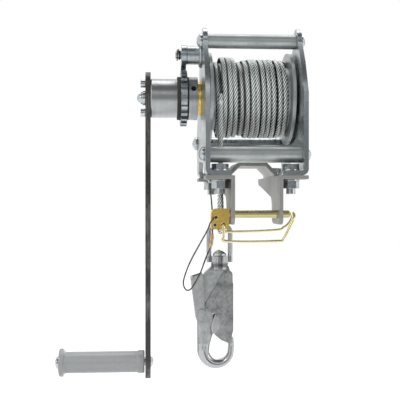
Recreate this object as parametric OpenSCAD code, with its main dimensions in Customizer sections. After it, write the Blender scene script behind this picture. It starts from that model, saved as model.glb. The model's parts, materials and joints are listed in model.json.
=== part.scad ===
/* [Side plates and feet] */
// Clear gap between the two side plates
plate_gap = 99; // [92:1:120]
// Thickness of the side plates and of their bent feet
plate_t = 5; // [4:0.5:6]
// Height of the shaft's axis over the underside of the bracket's web
shaft_lift = 79; // [79:1:90]
// Radius of the plate's lobes round the tie bolts
lobe_r = 14; // [12:1:16]
// Diameter of the upper and rear tie rods
tie_d = 16; // [13:1:20]
// Diameter of the lower front tie rod
front_tie_d = 18; // [15:1:19]
// Thread diameter of the tie bolts
tie_bolt_d = 8; // [6:1:8]
// Length of each foot along the plate
foot_w = 29; // [26:1:30]
// Outer radius of the bend between plate and foot
bend_r = 7; // [7:1:9]
// Thread diameter of the foot bolts
foot_bolt_d = 10; // [8:1:10]

/* [Bracket] */
// Clear gap between the bracket's legs, where the tripod leg sits
leg_gap = 47; // [38:1:50]
// Thickness of the bracket's sheet
leg_t = 4; // [3:0.5:5]
// Drop of the legs' lower edge below the ears
leg_drop = 52; // [48:1:60]
// Size of the 45 degree corners between legs and web
corner_cut = 12; // [8:1:14]

/* [Drum and rope] */
// Outer radius of the drum's flanges
flange_r = 52; // [50:1:56]
// Thickness of the drum's flanges
flange_t = 3.5; // [2.5:0.5:5]
// Outer radius of the bare barrel
barrel_r = 36; // [28:1:37]
// Radius over the inner layers of rope
core_r = 39.4; // [38:0.2:41]
// Diameter of the wire rope
rope_d = 5.5; // [4:0.5:6]
// Rise of the winding in one turn
rope_pitch = 5.95; // [5.95:0.05:7]

/* [Shaft and brake] */
// Diameter of the drive shaft
shaft_d = 20; // [16:1:22]
// Diameter of the shaft's end inside the crank arm
journal_d = 12; // [10:1:13]
// Diameter of the brake collar and of the friction discs
collar_d = 49; // [42:1:52]
// Width of the brake collar
collar_w = 10; // [8:1:12]
// Thickness of the friction disc beside the collar
inner_disc_t = 2; // [1.5:0.5:3]
// Thickness of the friction disc beside the crank hub
outer_disc_t = 3.8; // [2:0.2:5]
// Width of the ratchet wheel
ratchet_w = 7; // [6.5:0.5:9]
// Radius over the ratchet's teeth
ratchet_r = 32; // [30:1:33]
// Number of teeth, a multiple of four
ratchet_teeth = 24; // [16:4:24]
// Depth of a tooth
tooth_h = 5; // [4:0.5:6]

/* [Crank] */
// Distance from the shaft's axis to the grip's axis
crank_len = 300; // [240:5:360]
// Width of the flat crank arm
arm_w = 32; // [28:1:38]
// Thickness of the flat crank arm
arm_t = 6; // [5:0.5:8]
// Diameter of the crank hub
hub_d = 44; // [42:1:50]
// Length of the crank hub
hub_w = 30; // [26:1:36]
// Length of the turning grip
grip_len = 96; // [80:1:120]
// Diameter of the grip
grip_d = 24; // [20:1:32]
// Diameter of the bolt that the grip turns on
spindle_d = 10; // [8:1:12]

/* [Lock pin] */
// Diameter of the locking pin
pin_d = 8; // [6:1:10]
// Drop of the pin's axis below the ears
pin_drop = 41; // [38:1:43]
// Width of the pin's head block
block_w = 19; // [17:1:20]
// Height of the pin's head block
block_h = 22; // [21:1:24]
// Depth of the pin's head block
block_t = 11; // [10:0.5:11.5]
// Diameter of the bail's wire
bail_d = 3; // [2:0.5:3]
// Diameter of the lanyard's wire
lanyard_d = 1.6; // [1.2:0.2:2]

/* [Swivel hook] */
// Thickness of the hook's body
hook_t = 13; // [12:1:15]
// Diameter of the bar that the swivel eye is bent from
eye_bar_d = 5.2; // [4:0.2:5.4]
// Half of the swivel eye's width, to the bar's centre
eye_half_w = 11.6; // [11:0.2:12.4]
// Diameter of the swivel bolt
swivel_d = 8; // [6:1:10]
// Diameter of the gate's and the trigger's rivets
rivet_d = 4; // [3:0.5:5]
// Thickness of the gate's and the trigger's sheet
cheek_t = 1.6; // [1.2:0.2:2.2]

/* [Fits] */
// Radial clearance of a shaft that turns or slides in its bore
run_fit = 0.05; // [0.02:0.01:0.1]
// Gap between flat faces that turn past each other
face_gap = 0.1; // [0.1:0.1:0.3]
// Gap between pieces on different bodies
body_gap = 0.3; // [0.3:0.1:0.5]
// Radial clearance of a bolt in a drilled sheet
bolt_gap = 0.4; // [0.2:0.1:0.8]

/* [Hidden] */
$fn = 64;

// Colours of the real surfaces
zinc = [0.66, 0.69, 0.74];
bright_steel = [0.78, 0.79, 0.80];
dark_steel = [0.22, 0.21, 0.20];
warm_steel = [0.66, 0.60, 0.53];
yellow_zinc = [0.80, 0.63, 0.28];
rope_steel = [0.58, 0.58, 0.57];
cast_zinc = [0.60, 0.61, 0.62];
grip_grey = [0.70, 0.70, 0.69];
lining = [0.14, 0.13, 0.12];

// Places across the winch, counted outward from its middle
plate_in = plate_gap / 2;
plate_out = plate_in + plate_t;
bush_flange_t = 3.6;
bush_flange_d = 38;
bush_d = shaft_d + 8;
bush_x = plate_out + bush_flange_t;
collar_x = bush_x + body_gap;
inner_disc_x = collar_x + collar_w + face_gap;
ratchet_x = inner_disc_x + inner_disc_t;
outer_disc_x = ratchet_x + ratchet_w;
hub_x = outer_disc_x + outer_disc_t + face_gap;
arm_x = hub_x + hub_w;
arm_out = arm_x + arm_t;
nut_x = arm_out + face_gap;
grip_x = arm_out + 1;
grip_end = grip_x + grip_len;

// Places of the tie rods, as distance to the rear and height from the shaft's axis
top_tie = [-30, 60];
front_tie = [-60, -67];
rear_tie = [50, -48];
tie_head_d = 16;
tie_head_h = 6.5;
tie_thread_len = 20;

// Feet and ears
foot_drop = 90;
foot_front_y = -79;
foot_rear_y = 30;
foot_end = 27;
foot_bolt_y = [foot_front_y + foot_w / 2, foot_rear_y + foot_w / 2];
foot_bolt_x = 38;
foot_head_h = 5.6;
foot_nut_h = 8;
foot_washer_t = 1.8;
foot_bolt_len = 32;

// Bracket
leg_x = leg_gap / 2;
leg_out = leg_x + leg_t;
web_y = [-44, 26];
leg_bottom = -foot_drop - leg_drop;
leg_front = foot_front_y;
leg_rear_low = -27;
leg_rear_top = 79;
leg_round = 8;
neck_r = 12;

// Rope on the drum
drum_in = plate_in - 2.5 - flange_t;
wind_r = core_r + rope_d / 2 + 0.45;
rope_x = -35.5;
rope_y = -wind_r;
wind_start_x = drum_in - rope_d / 2 - 0.4;
wind_turns = (wind_start_x - rope_x) / rope_pitch;
loop_rings = 24;
rope_top = -sqrt(pow(wind_r + rope_d / 2 + 0.4, 2) - pow(wind_r - rope_d / 2, 2));

// Rope end, from the ferrule down to the thimble
ferrule_z = [-104, -86];
ferrule_d = 2 * rope_d + 1.5;
thimble_in = 5.5;
thimble_t = 1;
thimble_w = rope_d + 2;
thimble_z = -141.6;
thimble_top = -125;
eye_r = thimble_in + thimble_t + rope_d / 2;

// Swivel eye and hook
hook_x = -36.5;
eye_round = 7;
eye_z = thimble_z - thimble_in + eye_bar_d / 2 + body_gap;
base_top = -177;
base_t = 6.6;
base_r = 10.2;
bolt_head_d = 15;
bolt_head_h = 6.6;
collar_top = base_top - base_t - body_gap;
collar_h = 7.4;
gate_pivot = [8.3, -197.3];
trigger_pivot = [-20, -237];
cheek_y = hook_t / 2 + body_gap;
trigger_y = cheek_y + cheek_t + body_gap;
pocket_r = 5.2;
pocket_w = 7;
spring_wire = 1;

// Pawl and ratchet
pawl_pivot = [-12, 47.4];
pawl_angle = 86;
pawl_w = ratchet_w - 1;
pawl_x = ratchet_x + 0.5;
pawl_boss_r = 10.5;
pawl_stud_d = 8;
pawl_hub_r = 11;
notch_half = 4.5 * 24 / ratchet_teeth;
tooth_pitch = 360 / ratchet_teeth;
pawl_tip_half = 1.6;
clip_t = 1.2;
pawl_spring_w = 3.4;

// Crank fasteners
crank_screw_z = 16.6;
crank_screw_d = 5;
crank_screw_head = [9.5, 5.5];
end_stud_d = journal_d - 3;

// Lock pin
pin_z = -foot_drop - pin_drop;
pin_y = -66;
pin_end = leg_out + 10;
block_x = leg_out + 1.5;
bail_pivot = [-35, -142.4];
bail_near_y = pin_y - block_t / 2 - bail_d / 2 - body_gap;
bail_far_y = pin_y + block_t / 2 + bail_d / 2 + body_gap;

// Route of the lanyard, from the pin's head block to the eyelet under the left front foot
lanyard_route = [
    [-44, -72.2, -134], [-46, -75.6, -135.5], [-49.5, -77.2, -140], [-52.5, -77.6, -147.5], [-60, -77.6, -161],
    [-70.5, -77.6, -180.5], [-76.5, -77.6, -196], [-77.5, -77.3, -204.5], [-74.3, -76.6, -210],
    [-69.6, -75.6, -208.8], [-64.2, -73.4, -201], [-59, -70, -191.8], [-55, -64.5, -182.5], [-51, -58, -174],
    [-47.5, -53.6, -167], [-45.6, -52.2, -158], [-45, -52, -147], [-45.2, -52.4, -134], [-46, -53.4, -120],
    [-47.4, -55, -108], [-48.3, -56.2, -101], [-48.5, -56.5, -97.7]
];
lanyard_steps = 3;

// Small helpers: a unit vector, and points on an arc
function unit(v) = v / norm(v);
function arc(c, r, a0, a1, n) = [for (i = [0:n]) let (a = a0 + (a1 - a0) * i / n) c + r * [cos(a), sin(a)]];
function polar(r, a) = [r * cos(a), r * sin(a)];

// A smooth curve through hand-placed points
function blend_point(a, b, c, d, t) =
    0.5 * (2 * b + (c - a) * t + (2 * a - 5 * b + 4 * c - d) * t * t + (3 * b - a - 3 * c + d) * t * t * t);
function smooth(p, n) = concat(
    [for (i = [0:len(p) - 2], k = [0:n - 1])
        blend_point(p[max(i - 1, 0)], p[i], p[i + 1], p[min(i + 2, len(p) - 1)], k / n)],
    [p[len(p) - 1]]);

// Side vectors carried along a path without twisting
function heading(p, i) = unit(p[min(i + 1, len(p) - 1)] - p[max(i - 1, 0)]);
function carried(v, t) = unit(v - t * (v * t));
function side_vectors(p, v, i = 0, done = []) = i == len(p) ? done :
    let (s = carried(v, heading(p, i))) side_vectors(p, s, i + 1, concat(done, [s]));

// One closed tube along a path, in triangles
module tube(p, d, sides, side) {
    s = side_vectors(p, side);
    ring = [for (i = [0:len(p) - 1], k = [0:sides - 1])
        let (n = s[i], b = cross(heading(p, i), n), a = 360 * k / sides)
            p[i] + d / 2 * (n * cos(a) + b * sin(a))];
    walls = [for (i = [0:len(p) - 2], k = [0:sides - 1])
        let (a = i * sides + k, b = i * sides + (k + 1) % sides)
            each [[a, a + sides, b], [b, a + sides, b + sides]]];
    last = (len(p) - 1) * sides;
    first_cap = [for (k = [1:sides - 2]) [0, k, k + 1]];
    last_cap = [for (k = [1:sides - 2]) [last, last + k + 1, last + k]];
    polyhedron(ring, concat(walls, first_cap, last_cap));
}

// A cylinder and a ring along X, at a place behind and above the shaft's axis
module bar_x(x0, x1, d, at = [0, 0]) {
    translate([min(x0, x1), at[0], at[1]])
        rotate([0, 90, 0])
            cylinder(h = abs(x1 - x0), d = d);
}

module ring_x(x0, x1, od, id, at = [0, 0]) {
    difference() {
        bar_x(x0, x1, od, at);
        bar_x(min(x0, x1) - 1, max(x0, x1) + 1, id, at);
    }
}

// A cylinder along Y through a point of the XZ plane
module bar_y(y0, y1, d, at) {
    translate([at[0], y0, at[1]])
        rotate([-90, 0, 0])
            cylinder(h = y1 - y0, d = d);
}

// Outlines drawn in (Y, Z) and (X, Z), made into sheets
module sheet_x(x0, t) {
    translate([x0, 0, 0])
        rotate([90, 0, 90])
            linear_extrude(t)
                children();
}

module sheet_y(y0, t) {
    translate([0, y0 + t, 0])
        rotate([90, 0, 0])
            linear_extrude(t)
                children();
}

// A round bar between two points
module bar_between(a, b, d) {
    v = b - a;
    translate(a)
        rotate([0, acos(v[2] / norm(v)), atan2(v[1], v[0])])
            cylinder(h = norm(v), d = d);
}

// A low dome on a flat foot, standing on z = 0
module dome(d, h) {
    r = (d * d / 4 + h * h) / (2 * h);
    intersection() {
        translate([0, 0, h - r])
            sphere(r = r);
        cylinder(h = h, d = d);
    }
}

// Everything is drawn from the shaft's axis and lifted to the part's origin
module lifted() {
    translate([0, 0, shaft_lift])
        children();
}

// Side plates
module plate_outline() {
    polygon([
        [top_tie[0] - lobe_r, top_tie[1] - 2], [-62, 33], [foot_front_y, -2],
        [foot_front_y, bend_r - foot_drop], [foot_front_y + foot_w, bend_r - foot_drop],
        [foot_front_y + foot_w + 6, -76], [foot_rear_y - 6, -71], [foot_rear_y, bend_r - foot_drop],
        [foot_rear_y + foot_w, bend_r - foot_drop], [rear_tie[0] + lobe_r, rear_tie[1] - 4],
        [rear_tie[0] + lobe_r - 1, rear_tie[1] + 6], [57, -30], [22, 34],
        [top_tie[0] + lobe_r - 1, top_tie[1] - 4]
    ]);
    for (tie = [top_tie, rear_tie])
        translate(tie)
            circle(r = lobe_r);
}

module foot_outline() {
    translate([plate_out - bend_r, bend_r - foot_drop])
        intersection() {
            difference() {
                circle(r = bend_r);
                circle(r = bend_r - plate_t);
            }
            translate([0, -bend_r])
                square(bend_r);
        }
    translate([foot_end, -foot_drop])
        square([plate_out - bend_r - foot_end, plate_t]);
}

module side_plate() {
    difference() {
        union() {
            sheet_x(plate_in, plate_t)
                plate_outline();
            for (y = [foot_front_y, foot_rear_y])
                sheet_y(y, foot_w)
                    foot_outline();
        }
        bar_x(plate_in - 1, plate_out + 1, bush_d);
        for (tie = [top_tie, front_tie, rear_tie])
            bar_x(plate_in - 1, plate_out + 1, tie_bolt_d + 2 * bolt_gap, tie);
        for (y = foot_bolt_y)
            translate([foot_bolt_x, y, -foot_drop - 1])
                cylinder(h = plate_t + 2, d = foot_bolt_d + 2 * bolt_gap);
    }
}

module side_plate_right() {
    color(zinc)
        lifted()
            side_plate();
}

module side_plate_left() {
    color(zinc)
        lifted()
            mirror([1, 0, 0])
                side_plate();
}

// Tie rods, tapped at both ends
module tie_rod(at, d) {
    difference() {
        bar_x(-plate_in, plate_in, d, at);
        for (side = [-1, 1])
            bar_x(side * (plate_in + 1), side * (plate_in - tie_thread_len - 2), tie_bolt_d, at);
    }
}

module tie_rod_top() {
    color(bright_steel)
        lifted()
            tie_rod(top_tie, tie_d);
}

module tie_rod_front() {
    color(bright_steel)
        lifted()
            tie_rod(front_tie, front_tie_d);
}

module tie_rod_rear() {
    color(bright_steel)
        lifted()
            tie_rod(rear_tie, tie_d);
}

module tie_bolt() {
    difference() {
        union() {
            cylinder(h = 2.5, d = tie_head_d);
            translate([0, 0, 2.5])
                dome(tie_head_d, tie_head_h - 2.5);
            translate([0, 0, -plate_t - tie_thread_len])
                cylinder(h = plate_t + tie_thread_len, d = tie_bolt_d);
        }
        translate([0, 0, tie_head_h - 3.5])
            cylinder(h = 4, d = 5.8, $fn = 6);
    }
}

module tie_bolts() {
    color(bright_steel)
        lifted()
            for (tie = [top_tie, front_tie, rear_tie], side = [-1, 1])
                translate([side * plate_out, tie[0], tie[1]])
                    rotate([0, side * 90, 0])
                        tie_bolt();
}

// Bracket: an inverted U with cut corners, and ears bent out under the feet
module leg_outline() {
    neck_z = -foot_drop - 22;
    polygon(concat(
        [[leg_front, -foot_drop], [leg_front, leg_bottom + leg_round]],
        arc([leg_front + leg_round, leg_bottom + leg_round], leg_round, 180, 270, 8),
        arc([leg_rear_low - leg_round, leg_bottom + leg_round], leg_round, 270, 360, 8),
        arc([leg_rear_low + neck_r, neck_z - neck_r], neck_r, 180, 90, 8),
        [[leg_rear_top - 22, -foot_drop - 10]],
        arc([leg_rear_top - 9, -foot_drop], 9, 300, 360, 5),
        [[leg_rear_top, -foot_drop]]
    ));
}

module web_outline() {
    web_top = leg_t;
    difference() {
        polygon([
            [-leg_out, -foot_drop], [-leg_out, -shaft_lift + web_top - corner_cut],
            [-leg_out + corner_cut, -shaft_lift + web_top], [leg_out - corner_cut, -shaft_lift + web_top],
            [leg_out, -shaft_lift + web_top - corner_cut], [leg_out, -foot_drop]
        ]);
        inner_cut = corner_cut - leg_t * (2 - sqrt(2));
        polygon([
            [-leg_x, -foot_drop - 1], [-leg_x, -shaft_lift - inner_cut], [-leg_x + inner_cut, -shaft_lift],
            [leg_x - inner_cut, -shaft_lift], [leg_x, -shaft_lift - inner_cut], [leg_x, -foot_drop - 1]
        ]);
    }
}

module bracket() {
    color(warm_steel)
        lifted()
            difference() {
                union() {
                    for (x = [-leg_out, leg_x])
                        sheet_x(x, leg_t)
                            leg_outline();
                    sheet_y(web_y[0], web_y[1] - web_y[0])
                        web_outline();
                    for (y = [foot_front_y, foot_rear_y], side = [-1, 1])
                        translate([side > 0 ? leg_x : -plate_out, y, -foot_drop - leg_t])
                            cube([plate_out - leg_x, foot_w, leg_t]);
                }
                bar_x(-leg_out - 1, leg_out + 1, pin_d + 2 * run_fit, [pin_y, pin_z]);
                for (y = foot_bolt_y, side = [-1, 1])
                    translate([side * foot_bolt_x, y, -foot_drop - leg_t - 1])
                        cylinder(h = leg_t + 2, d = foot_bolt_d + 2 * bolt_gap);
            }
}

// Foot bolts, washers and nuts
module at_feet() {
    for (y = foot_bolt_y, side = [-1, 1])
        translate([side * foot_bolt_x, y, -foot_drop])
            children();
}

module foot_bolts() {
    head_z = plate_t + foot_washer_t;
    color(zinc)
        lifted()
            at_feet() {
                translate([0, 0, head_z])
                    cylinder(h = foot_head_h, d = 1.6 * foot_bolt_d / cos(30), $fn = 6);
                translate([0, 0, head_z - foot_bolt_len + foot_head_h])
                    cylinder(h = foot_bolt_len - foot_head_h, d = foot_bolt_d);
            }
}

module foot_washers() {
    color(bright_steel)
        lifted()
            at_feet()
                for (z = [plate_t, -leg_t - foot_washer_t])
                    translate([0, 0, z])
                        difference() {
                            cylinder(h = foot_washer_t, d = 1.9 * foot_bolt_d);
                            translate([0, 0, -1])
                                cylinder(h = foot_washer_t + 2, d = foot_bolt_d + 0.2);
                        }
}

module foot_nuts() {
    color(zinc)
        lifted()
            at_feet()
                translate([0, 0, -leg_t - foot_washer_t - foot_nut_h])
                    difference() {
                        cylinder(h = foot_nut_h, d = 1.6 * foot_bolt_d / cos(30), $fn = 6);
                        translate([0, 0, -1])
                            cylinder(h = foot_nut_h + 2, d = foot_bolt_d);
                    }
}

// Flanged bushes that carry the shaft
module shaft_bush() {
    difference() {
        union() {
            bar_x(plate_in - 0.5, bush_x, bush_d);
            bar_x(plate_out, bush_x, bush_flange_d);
        }
        bar_x(plate_in - 2, bush_x + 1, shaft_d + 2 * run_fit);
    }
}

module shaft_bush_right() {
    color(yellow_zinc)
        lifted()
            shaft_bush();
}

module shaft_bush_left() {
    color(yellow_zinc)
        lifted()
            mirror([1, 0, 0])
                shaft_bush();
}

// Pawl on its welded stud
pawl_end = pawl_x + pawl_w;
clip_x = pawl_end + body_gap + pawl_spring_w + body_gap;

module pawl_stud() {
    color(zinc)
        lifted() {
            bar_x(-plate_out, -pawl_x + body_gap, 2 * pawl_boss_r, pawl_pivot);
            bar_x(-plate_out, -clip_x - clip_t - 1.4, pawl_stud_d, pawl_pivot);
        }
}

module pawl_weld() {
    bead = 3.2;
    color(dark_steel)
        lifted()
            difference() {
                translate([-plate_out - bead, pawl_pivot[0], pawl_pivot[1]])
                    rotate([0, 90, 0])
                        cylinder(h = bead, r1 = pawl_boss_r, r2 = pawl_boss_r + bead);
                bar_x(-plate_out - 10, -plate_out + 1, 2 * pawl_boss_r, pawl_pivot);
            }
}

module pawl_clip() {
    color(dark_steel)
        lifted()
            difference() {
                ring_x(-clip_x - clip_t, -clip_x, pawl_stud_d + 5, pawl_stud_d, pawl_pivot);
                translate([-clip_x - clip_t - 1, pawl_pivot[0] - 1.2, pawl_pivot[1]])
                    cube([clip_t + 2, 2.4, 12]);
            }
}

module pawl_outline() {
    out = polar(1, pawl_angle);
    across = polar(1, pawl_angle + 90);
    low = ratchet_r + body_gap;
    high = low + 2;
    polygon([
        pawl_pivot + [-pawl_hub_r + 1, -4], high * out + 3 * across, low * out + pawl_tip_half * across,
        low * out - pawl_tip_half * across, high * out - pawl_tip_half * across,
        pawl_pivot + [pawl_hub_r - 2, 5]
    ]);
    translate(pawl_pivot)
        circle(r = pawl_hub_r);
}

module pawl() {
    color(dark_steel)
        lifted()
            difference() {
                sheet_x(-pawl_end, pawl_w)
                    pawl_outline();
                bar_x(-pawl_end - 1, -pawl_x + 1, pawl_stud_d + 2 * run_fit, pawl_pivot);
            }
}

module pawl_spring() {
    turns = 2.25;
    wire_d = 1.1;
    r = pawl_stud_d / 2 + 0.4 + wire_d / 2;
    rise = (pawl_spring_w - wire_d) / turns;
    x0 = -pawl_end - body_gap - wire_d / 2;
    coil = [for (i = [0:8 * turns])
        [x0 - rise * i / 8, pawl_pivot[0] + r * cos(45 * i), pawl_pivot[1] + r * sin(45 * i)]];
    end = coil[len(coil) - 1];
    color(dark_steel)
        lifted()
            tube(concat(
                [coil[0] + [0, 0, -3]], coil, [end + [0, -3, 0], end + [0, -9, 0]]
            ), wire_d, 6, [1, 0, 0]);
}

// Drum, its key and the shaft
module drum() {
    hub_len = 22;
    color(zinc)
        lifted()
            difference() {
                union() {
                    bar_x(-drum_in, drum_in, 2 * barrel_r);
                    for (side = [-1, 1])
                        bar_x(side * drum_in, side * (drum_in + flange_t), 2 * flange_r);
                    for (side = [-1, 1])
                        bar_x(side * drum_in, side * (plate_in - 1), shaft_d + 14);
                }
                difference() {
                    bar_x(-drum_in, drum_in, 2 * barrel_r - 8);
                    for (side = [-1, 1])
                        bar_x(side * drum_in, side * (drum_in - hub_len), shaft_d + 12);
                }
                bar_x(-plate_in, plate_in, shaft_d);
                for (a = [45:90:315])
                    bar_x(-plate_in, plate_in, 9, polar(barrel_r - 11, a));
                translate([-drum_in + 1, -3, 0])
                    cube([20, 6, shaft_d / 2 + 3]);
            }
}

module drum_key() {
    color(dark_steel)
        lifted()
            translate([-drum_in + 1, -3, shaft_d / 2 - 3])
                cube([20, 6, 6]);
}

module drive_shaft() {
    color(bright_steel)
        lifted()
            difference() {
                union() {
                    bar_x(-arm_x, bush_x + 5, shaft_d);
                    bar_x(-nut_x, -arm_x, journal_d);
                    bar_x(-nut_x - 6, -nut_x, end_stud_d);
                }
                translate([-drum_in + 1, -3, shaft_d / 2 - 3])
                    cube([20, 6, 8]);
                ring_x(bush_x + 1, bush_x + 2.6, shaft_d + 4, shaft_d - 2);
            }
}

module shaft_circlip() {
    color(dark_steel)
        lifted()
            difference() {
                ring_x(bush_x + 1, bush_x + 2.6, shaft_d + 6, shaft_d - 2);
                translate([bush_x, -2, 0])
                    cube([4, 4, 20]);
            }
}

module rope_core() {
    color(rope_steel)
        lifted()
            ring_x(-drum_in, drum_in, 2 * core_r, 2 * barrel_r);
}

// The outer layer of turns, ending where the rope leaves the drum at the front
function turn_point(i) =
    let (a = 180 + 360 * wind_turns - 360 * i / loop_rings)
        [wind_start_x - rope_pitch * i / loop_rings, wind_r * cos(a), wind_r * sin(a)];
wind_rings = floor(wind_turns * loop_rings);
turn_points = [for (i = [0:wind_rings]) turn_point(i)];
wind_path = concat(
    [turn_points[0] + rope_d * unit(turn_points[0] - turn_points[1])],
    turn_points,
    [turn_points[wind_rings] + rope_d * unit(turn_points[wind_rings] - turn_points[wind_rings - 1])]
);
turn_gaps = [for (i = [0:wind_rings - loop_rings]) norm(turn_points[i + loop_rings] - turn_points[i]) - rope_d];
echo(winding_least_gap = min(turn_gaps));

module rope_winding() {
    color(rope_steel)
        lifted()
            tube(wind_path, rope_d, 6, [1, 0, 0]);
}

// Brake collar, pinned to the shaft
module brake_collar() {
    color(bright_steel)
        lifted()
            difference() {
                bar_x(-collar_x - collar_w, -collar_x, collar_d);
                bar_x(-collar_x - collar_w - 1, -collar_x + 1, shaft_d);
                translate([-collar_x - collar_w / 2, 0, 0])
                    rotate([70, 0, 0])
                        cylinder(h = collar_d, d = 6);
            }
}

module collar_screw() {
    color(dark_steel)
        lifted()
            translate([-collar_x - collar_w / 2, 0, 0])
                rotate([70, 0, 0])
                    difference() {
                        translate([0, 0, shaft_d / 2])
                            cylinder(h = 10, d = 6);
                        translate([0, 0, shaft_d / 2 + 6])
                            cylinder(h = 5, d = 3.4, $fn = 6);
                    }
}

// Domed nut on the shaft's end
module crank_nut() {
    color(bright_steel)
        lifted()
            difference() {
                union() {
                    bar_x(-nut_x - 3, -nut_x, 17);
                    bar_x(-nut_x - 5, -nut_x - 3, 14.5);
                    translate([-nut_x - 5, 0, 0])
                        rotate([0, -90, 0])
                            dome(12, 4.6);
                }
                bar_x(-nut_x - 6, -nut_x + 1, end_stud_d);
            }
}

// Ratchet wheel between two friction discs
module ratchet_wheel() {
    low = ratchet_r - tooth_h;
    color(zinc)
        lifted()
            difference() {
                sheet_x(-ratchet_x - ratchet_w, ratchet_w)
                    polygon([for (i = [0:ratchet_teeth - 1])
                        let (a = pawl_angle + (i + 0.5) * tooth_pitch)
                            each [polar(low, a - notch_half), polar(low, a + notch_half),
                                polar(ratchet_r, a + notch_half), polar(ratchet_r, a + tooth_pitch - notch_half)]
                    ]);
                bar_x(-ratchet_x - ratchet_w - 1, -ratchet_x + 1, shaft_d + 2 * run_fit);
            }
}

module friction_disc_inner() {
    color(lining)
        lifted()
            ring_x(-ratchet_x, -inner_disc_x, collar_d, shaft_d + 1);
}

module friction_disc_outer() {
    color(lining)
        lifted()
            ring_x(-outer_disc_x - outer_disc_t, -outer_disc_x, collar_d, shaft_d + 1);
}

// Crank: hub, flat arm, screws and the turning grip
module crank_hub() {
    color(dark_steel)
        lifted()
            difference() {
                union() {
                    bar_x(-arm_x + 1, -hub_x, hub_d);
                    translate([-arm_x, 0, 0])
                        rotate([0, 90, 0])
                            cylinder(h = 1, d1 = hub_d - 2, d2 = hub_d);
                }
                bar_x(-arm_x - 1, -hub_x + 1, shaft_d + 2 * run_fit);
                for (side = [-1, 1])
                    bar_x(-arm_x - 1, -arm_x + 14, crank_screw_d, [0, side * crank_screw_z]);
            }
}

module crank_arm() {
    color(dark_steel)
        lifted()
            difference() {
                sheet_x(-arm_out, arm_t) {
                    translate([0, crank_screw_z - 3])
                        circle(d = arm_w);
                    translate([-arm_w / 2, -crank_len - 3])
                        square([arm_w, crank_len + crank_screw_z]);
                    translate([0, -crank_len - 3])
                        circle(d = arm_w);
                }
                bar_x(-arm_out - 1, -arm_x + 1, journal_d + 2 * run_fit);
                bar_x(-arm_out - 1, -arm_x + 1, spindle_d, [0, -crank_len]);
                for (side = [-1, 1])
                    bar_x(-arm_out - 1, -arm_x + 1, crank_screw_d, [0, side * crank_screw_z]);
            }
}

module crank_screws() {
    color(bright_steel)
        lifted()
            for (side = [-1, 1])
                difference() {
                    union() {
                        bar_x(-arm_out, -arm_x + 12, crank_screw_d, [0, side * crank_screw_z]);
                        bar_x(-arm_out - crank_screw_head[1], -arm_out, crank_screw_head[0],
                            [0, side * crank_screw_z]);
                    }
                    translate([-arm_out - crank_screw_head[1] - 1, 0, side * crank_screw_z])
                        rotate([0, 90, 0])
                            cylinder(h = 4, d = 4.6, $fn = 6);
                }
}

module grip_spindle() {
    color(bright_steel)
        lifted() {
            bar_x(-grip_end - 2, -arm_x, spindle_d, [0, -crank_len]);
            translate([-arm_x, 0, -crank_len])
                rotate([0, 90, 0])
                    dome(spindle_d + 4, 3.6);
        }
}

module grip_nut() {
    nut_d = spindle_d + 4;
    color(bright_steel)
        lifted()
            difference() {
                union() {
                    bar_x(-grip_end - body_gap - 2.4, -grip_end - body_gap, nut_d, [0, -crank_len]);
                    translate([-grip_end - body_gap - 2.4, 0, -crank_len])
                        rotate([0, -90, 0])
                            dome(nut_d, 2.4);
                }
                bar_x(-grip_end - 2, -grip_end + 1, spindle_d, [0, -crank_len]);
            }
}

module grip() {
    r = grip_d / 2;
    bore = spindle_d / 2 + run_fit;
    color(grip_grey)
        lifted()
            translate([-grip_x, 0, -crank_len])
                rotate([0, -90, 0])
                    rotate_extrude()
                        polygon([
                            [bore, 0], [r + 0.4, 0], [r + 1, 1], [r + 1, 7], [r + 0.2, 8], [r, 12],
                            [r, grip_len - 7], [r + 1.4, grip_len - 5.4], [r + 3.5, grip_len - 4.8],
                            [r + 3.8, grip_len - 4], [r + 3.8, grip_len - 1.2], [r + 3, grip_len],
                            [bore, grip_len]
                        ]);
}

// Lock pin with its head block, bail and lanyard
module lock_pin() {
    color(yellow_zinc)
        lifted() {
            bar_x(-block_x - block_w + 3, pin_end - 2, pin_d, [pin_y, pin_z]);
            translate([pin_end - 2, pin_y, pin_z])
                rotate([0, 90, 0])
                    cylinder(h = 2, d1 = pin_d, d2 = pin_d - 3);
        }
}

module pin_block() {
    x0 = -block_x - block_w;
    z1 = pin_z + block_h - 16;
    z0 = z1 - block_h;
    color(yellow_zinc)
        lifted()
            difference() {
                sheet_y(pin_y - block_t / 2, block_t)
                    polygon(concat(
                        arc([x0 + 6, z1 - 6], 6, 90, 180, 8),
                        arc([x0 + 2, z0 + 2], 2, 180, 270, 4),
                        arc([-block_x - 2, z0 + 2], 2, 270, 360, 4),
                        arc([-block_x - 2, z1 - 2], 2, 0, 90, 4)
                    ));
                bar_x(x0 + 3, -block_x + 1, pin_d, [pin_y, pin_z]);
                bar_y(pin_y - block_t, pin_y + block_t, bail_d + 2 * run_fit, bail_pivot);
                bar_y(pin_y - block_t, pin_y + block_t, 2.4, [-44, -142.5]);
            }
}

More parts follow.
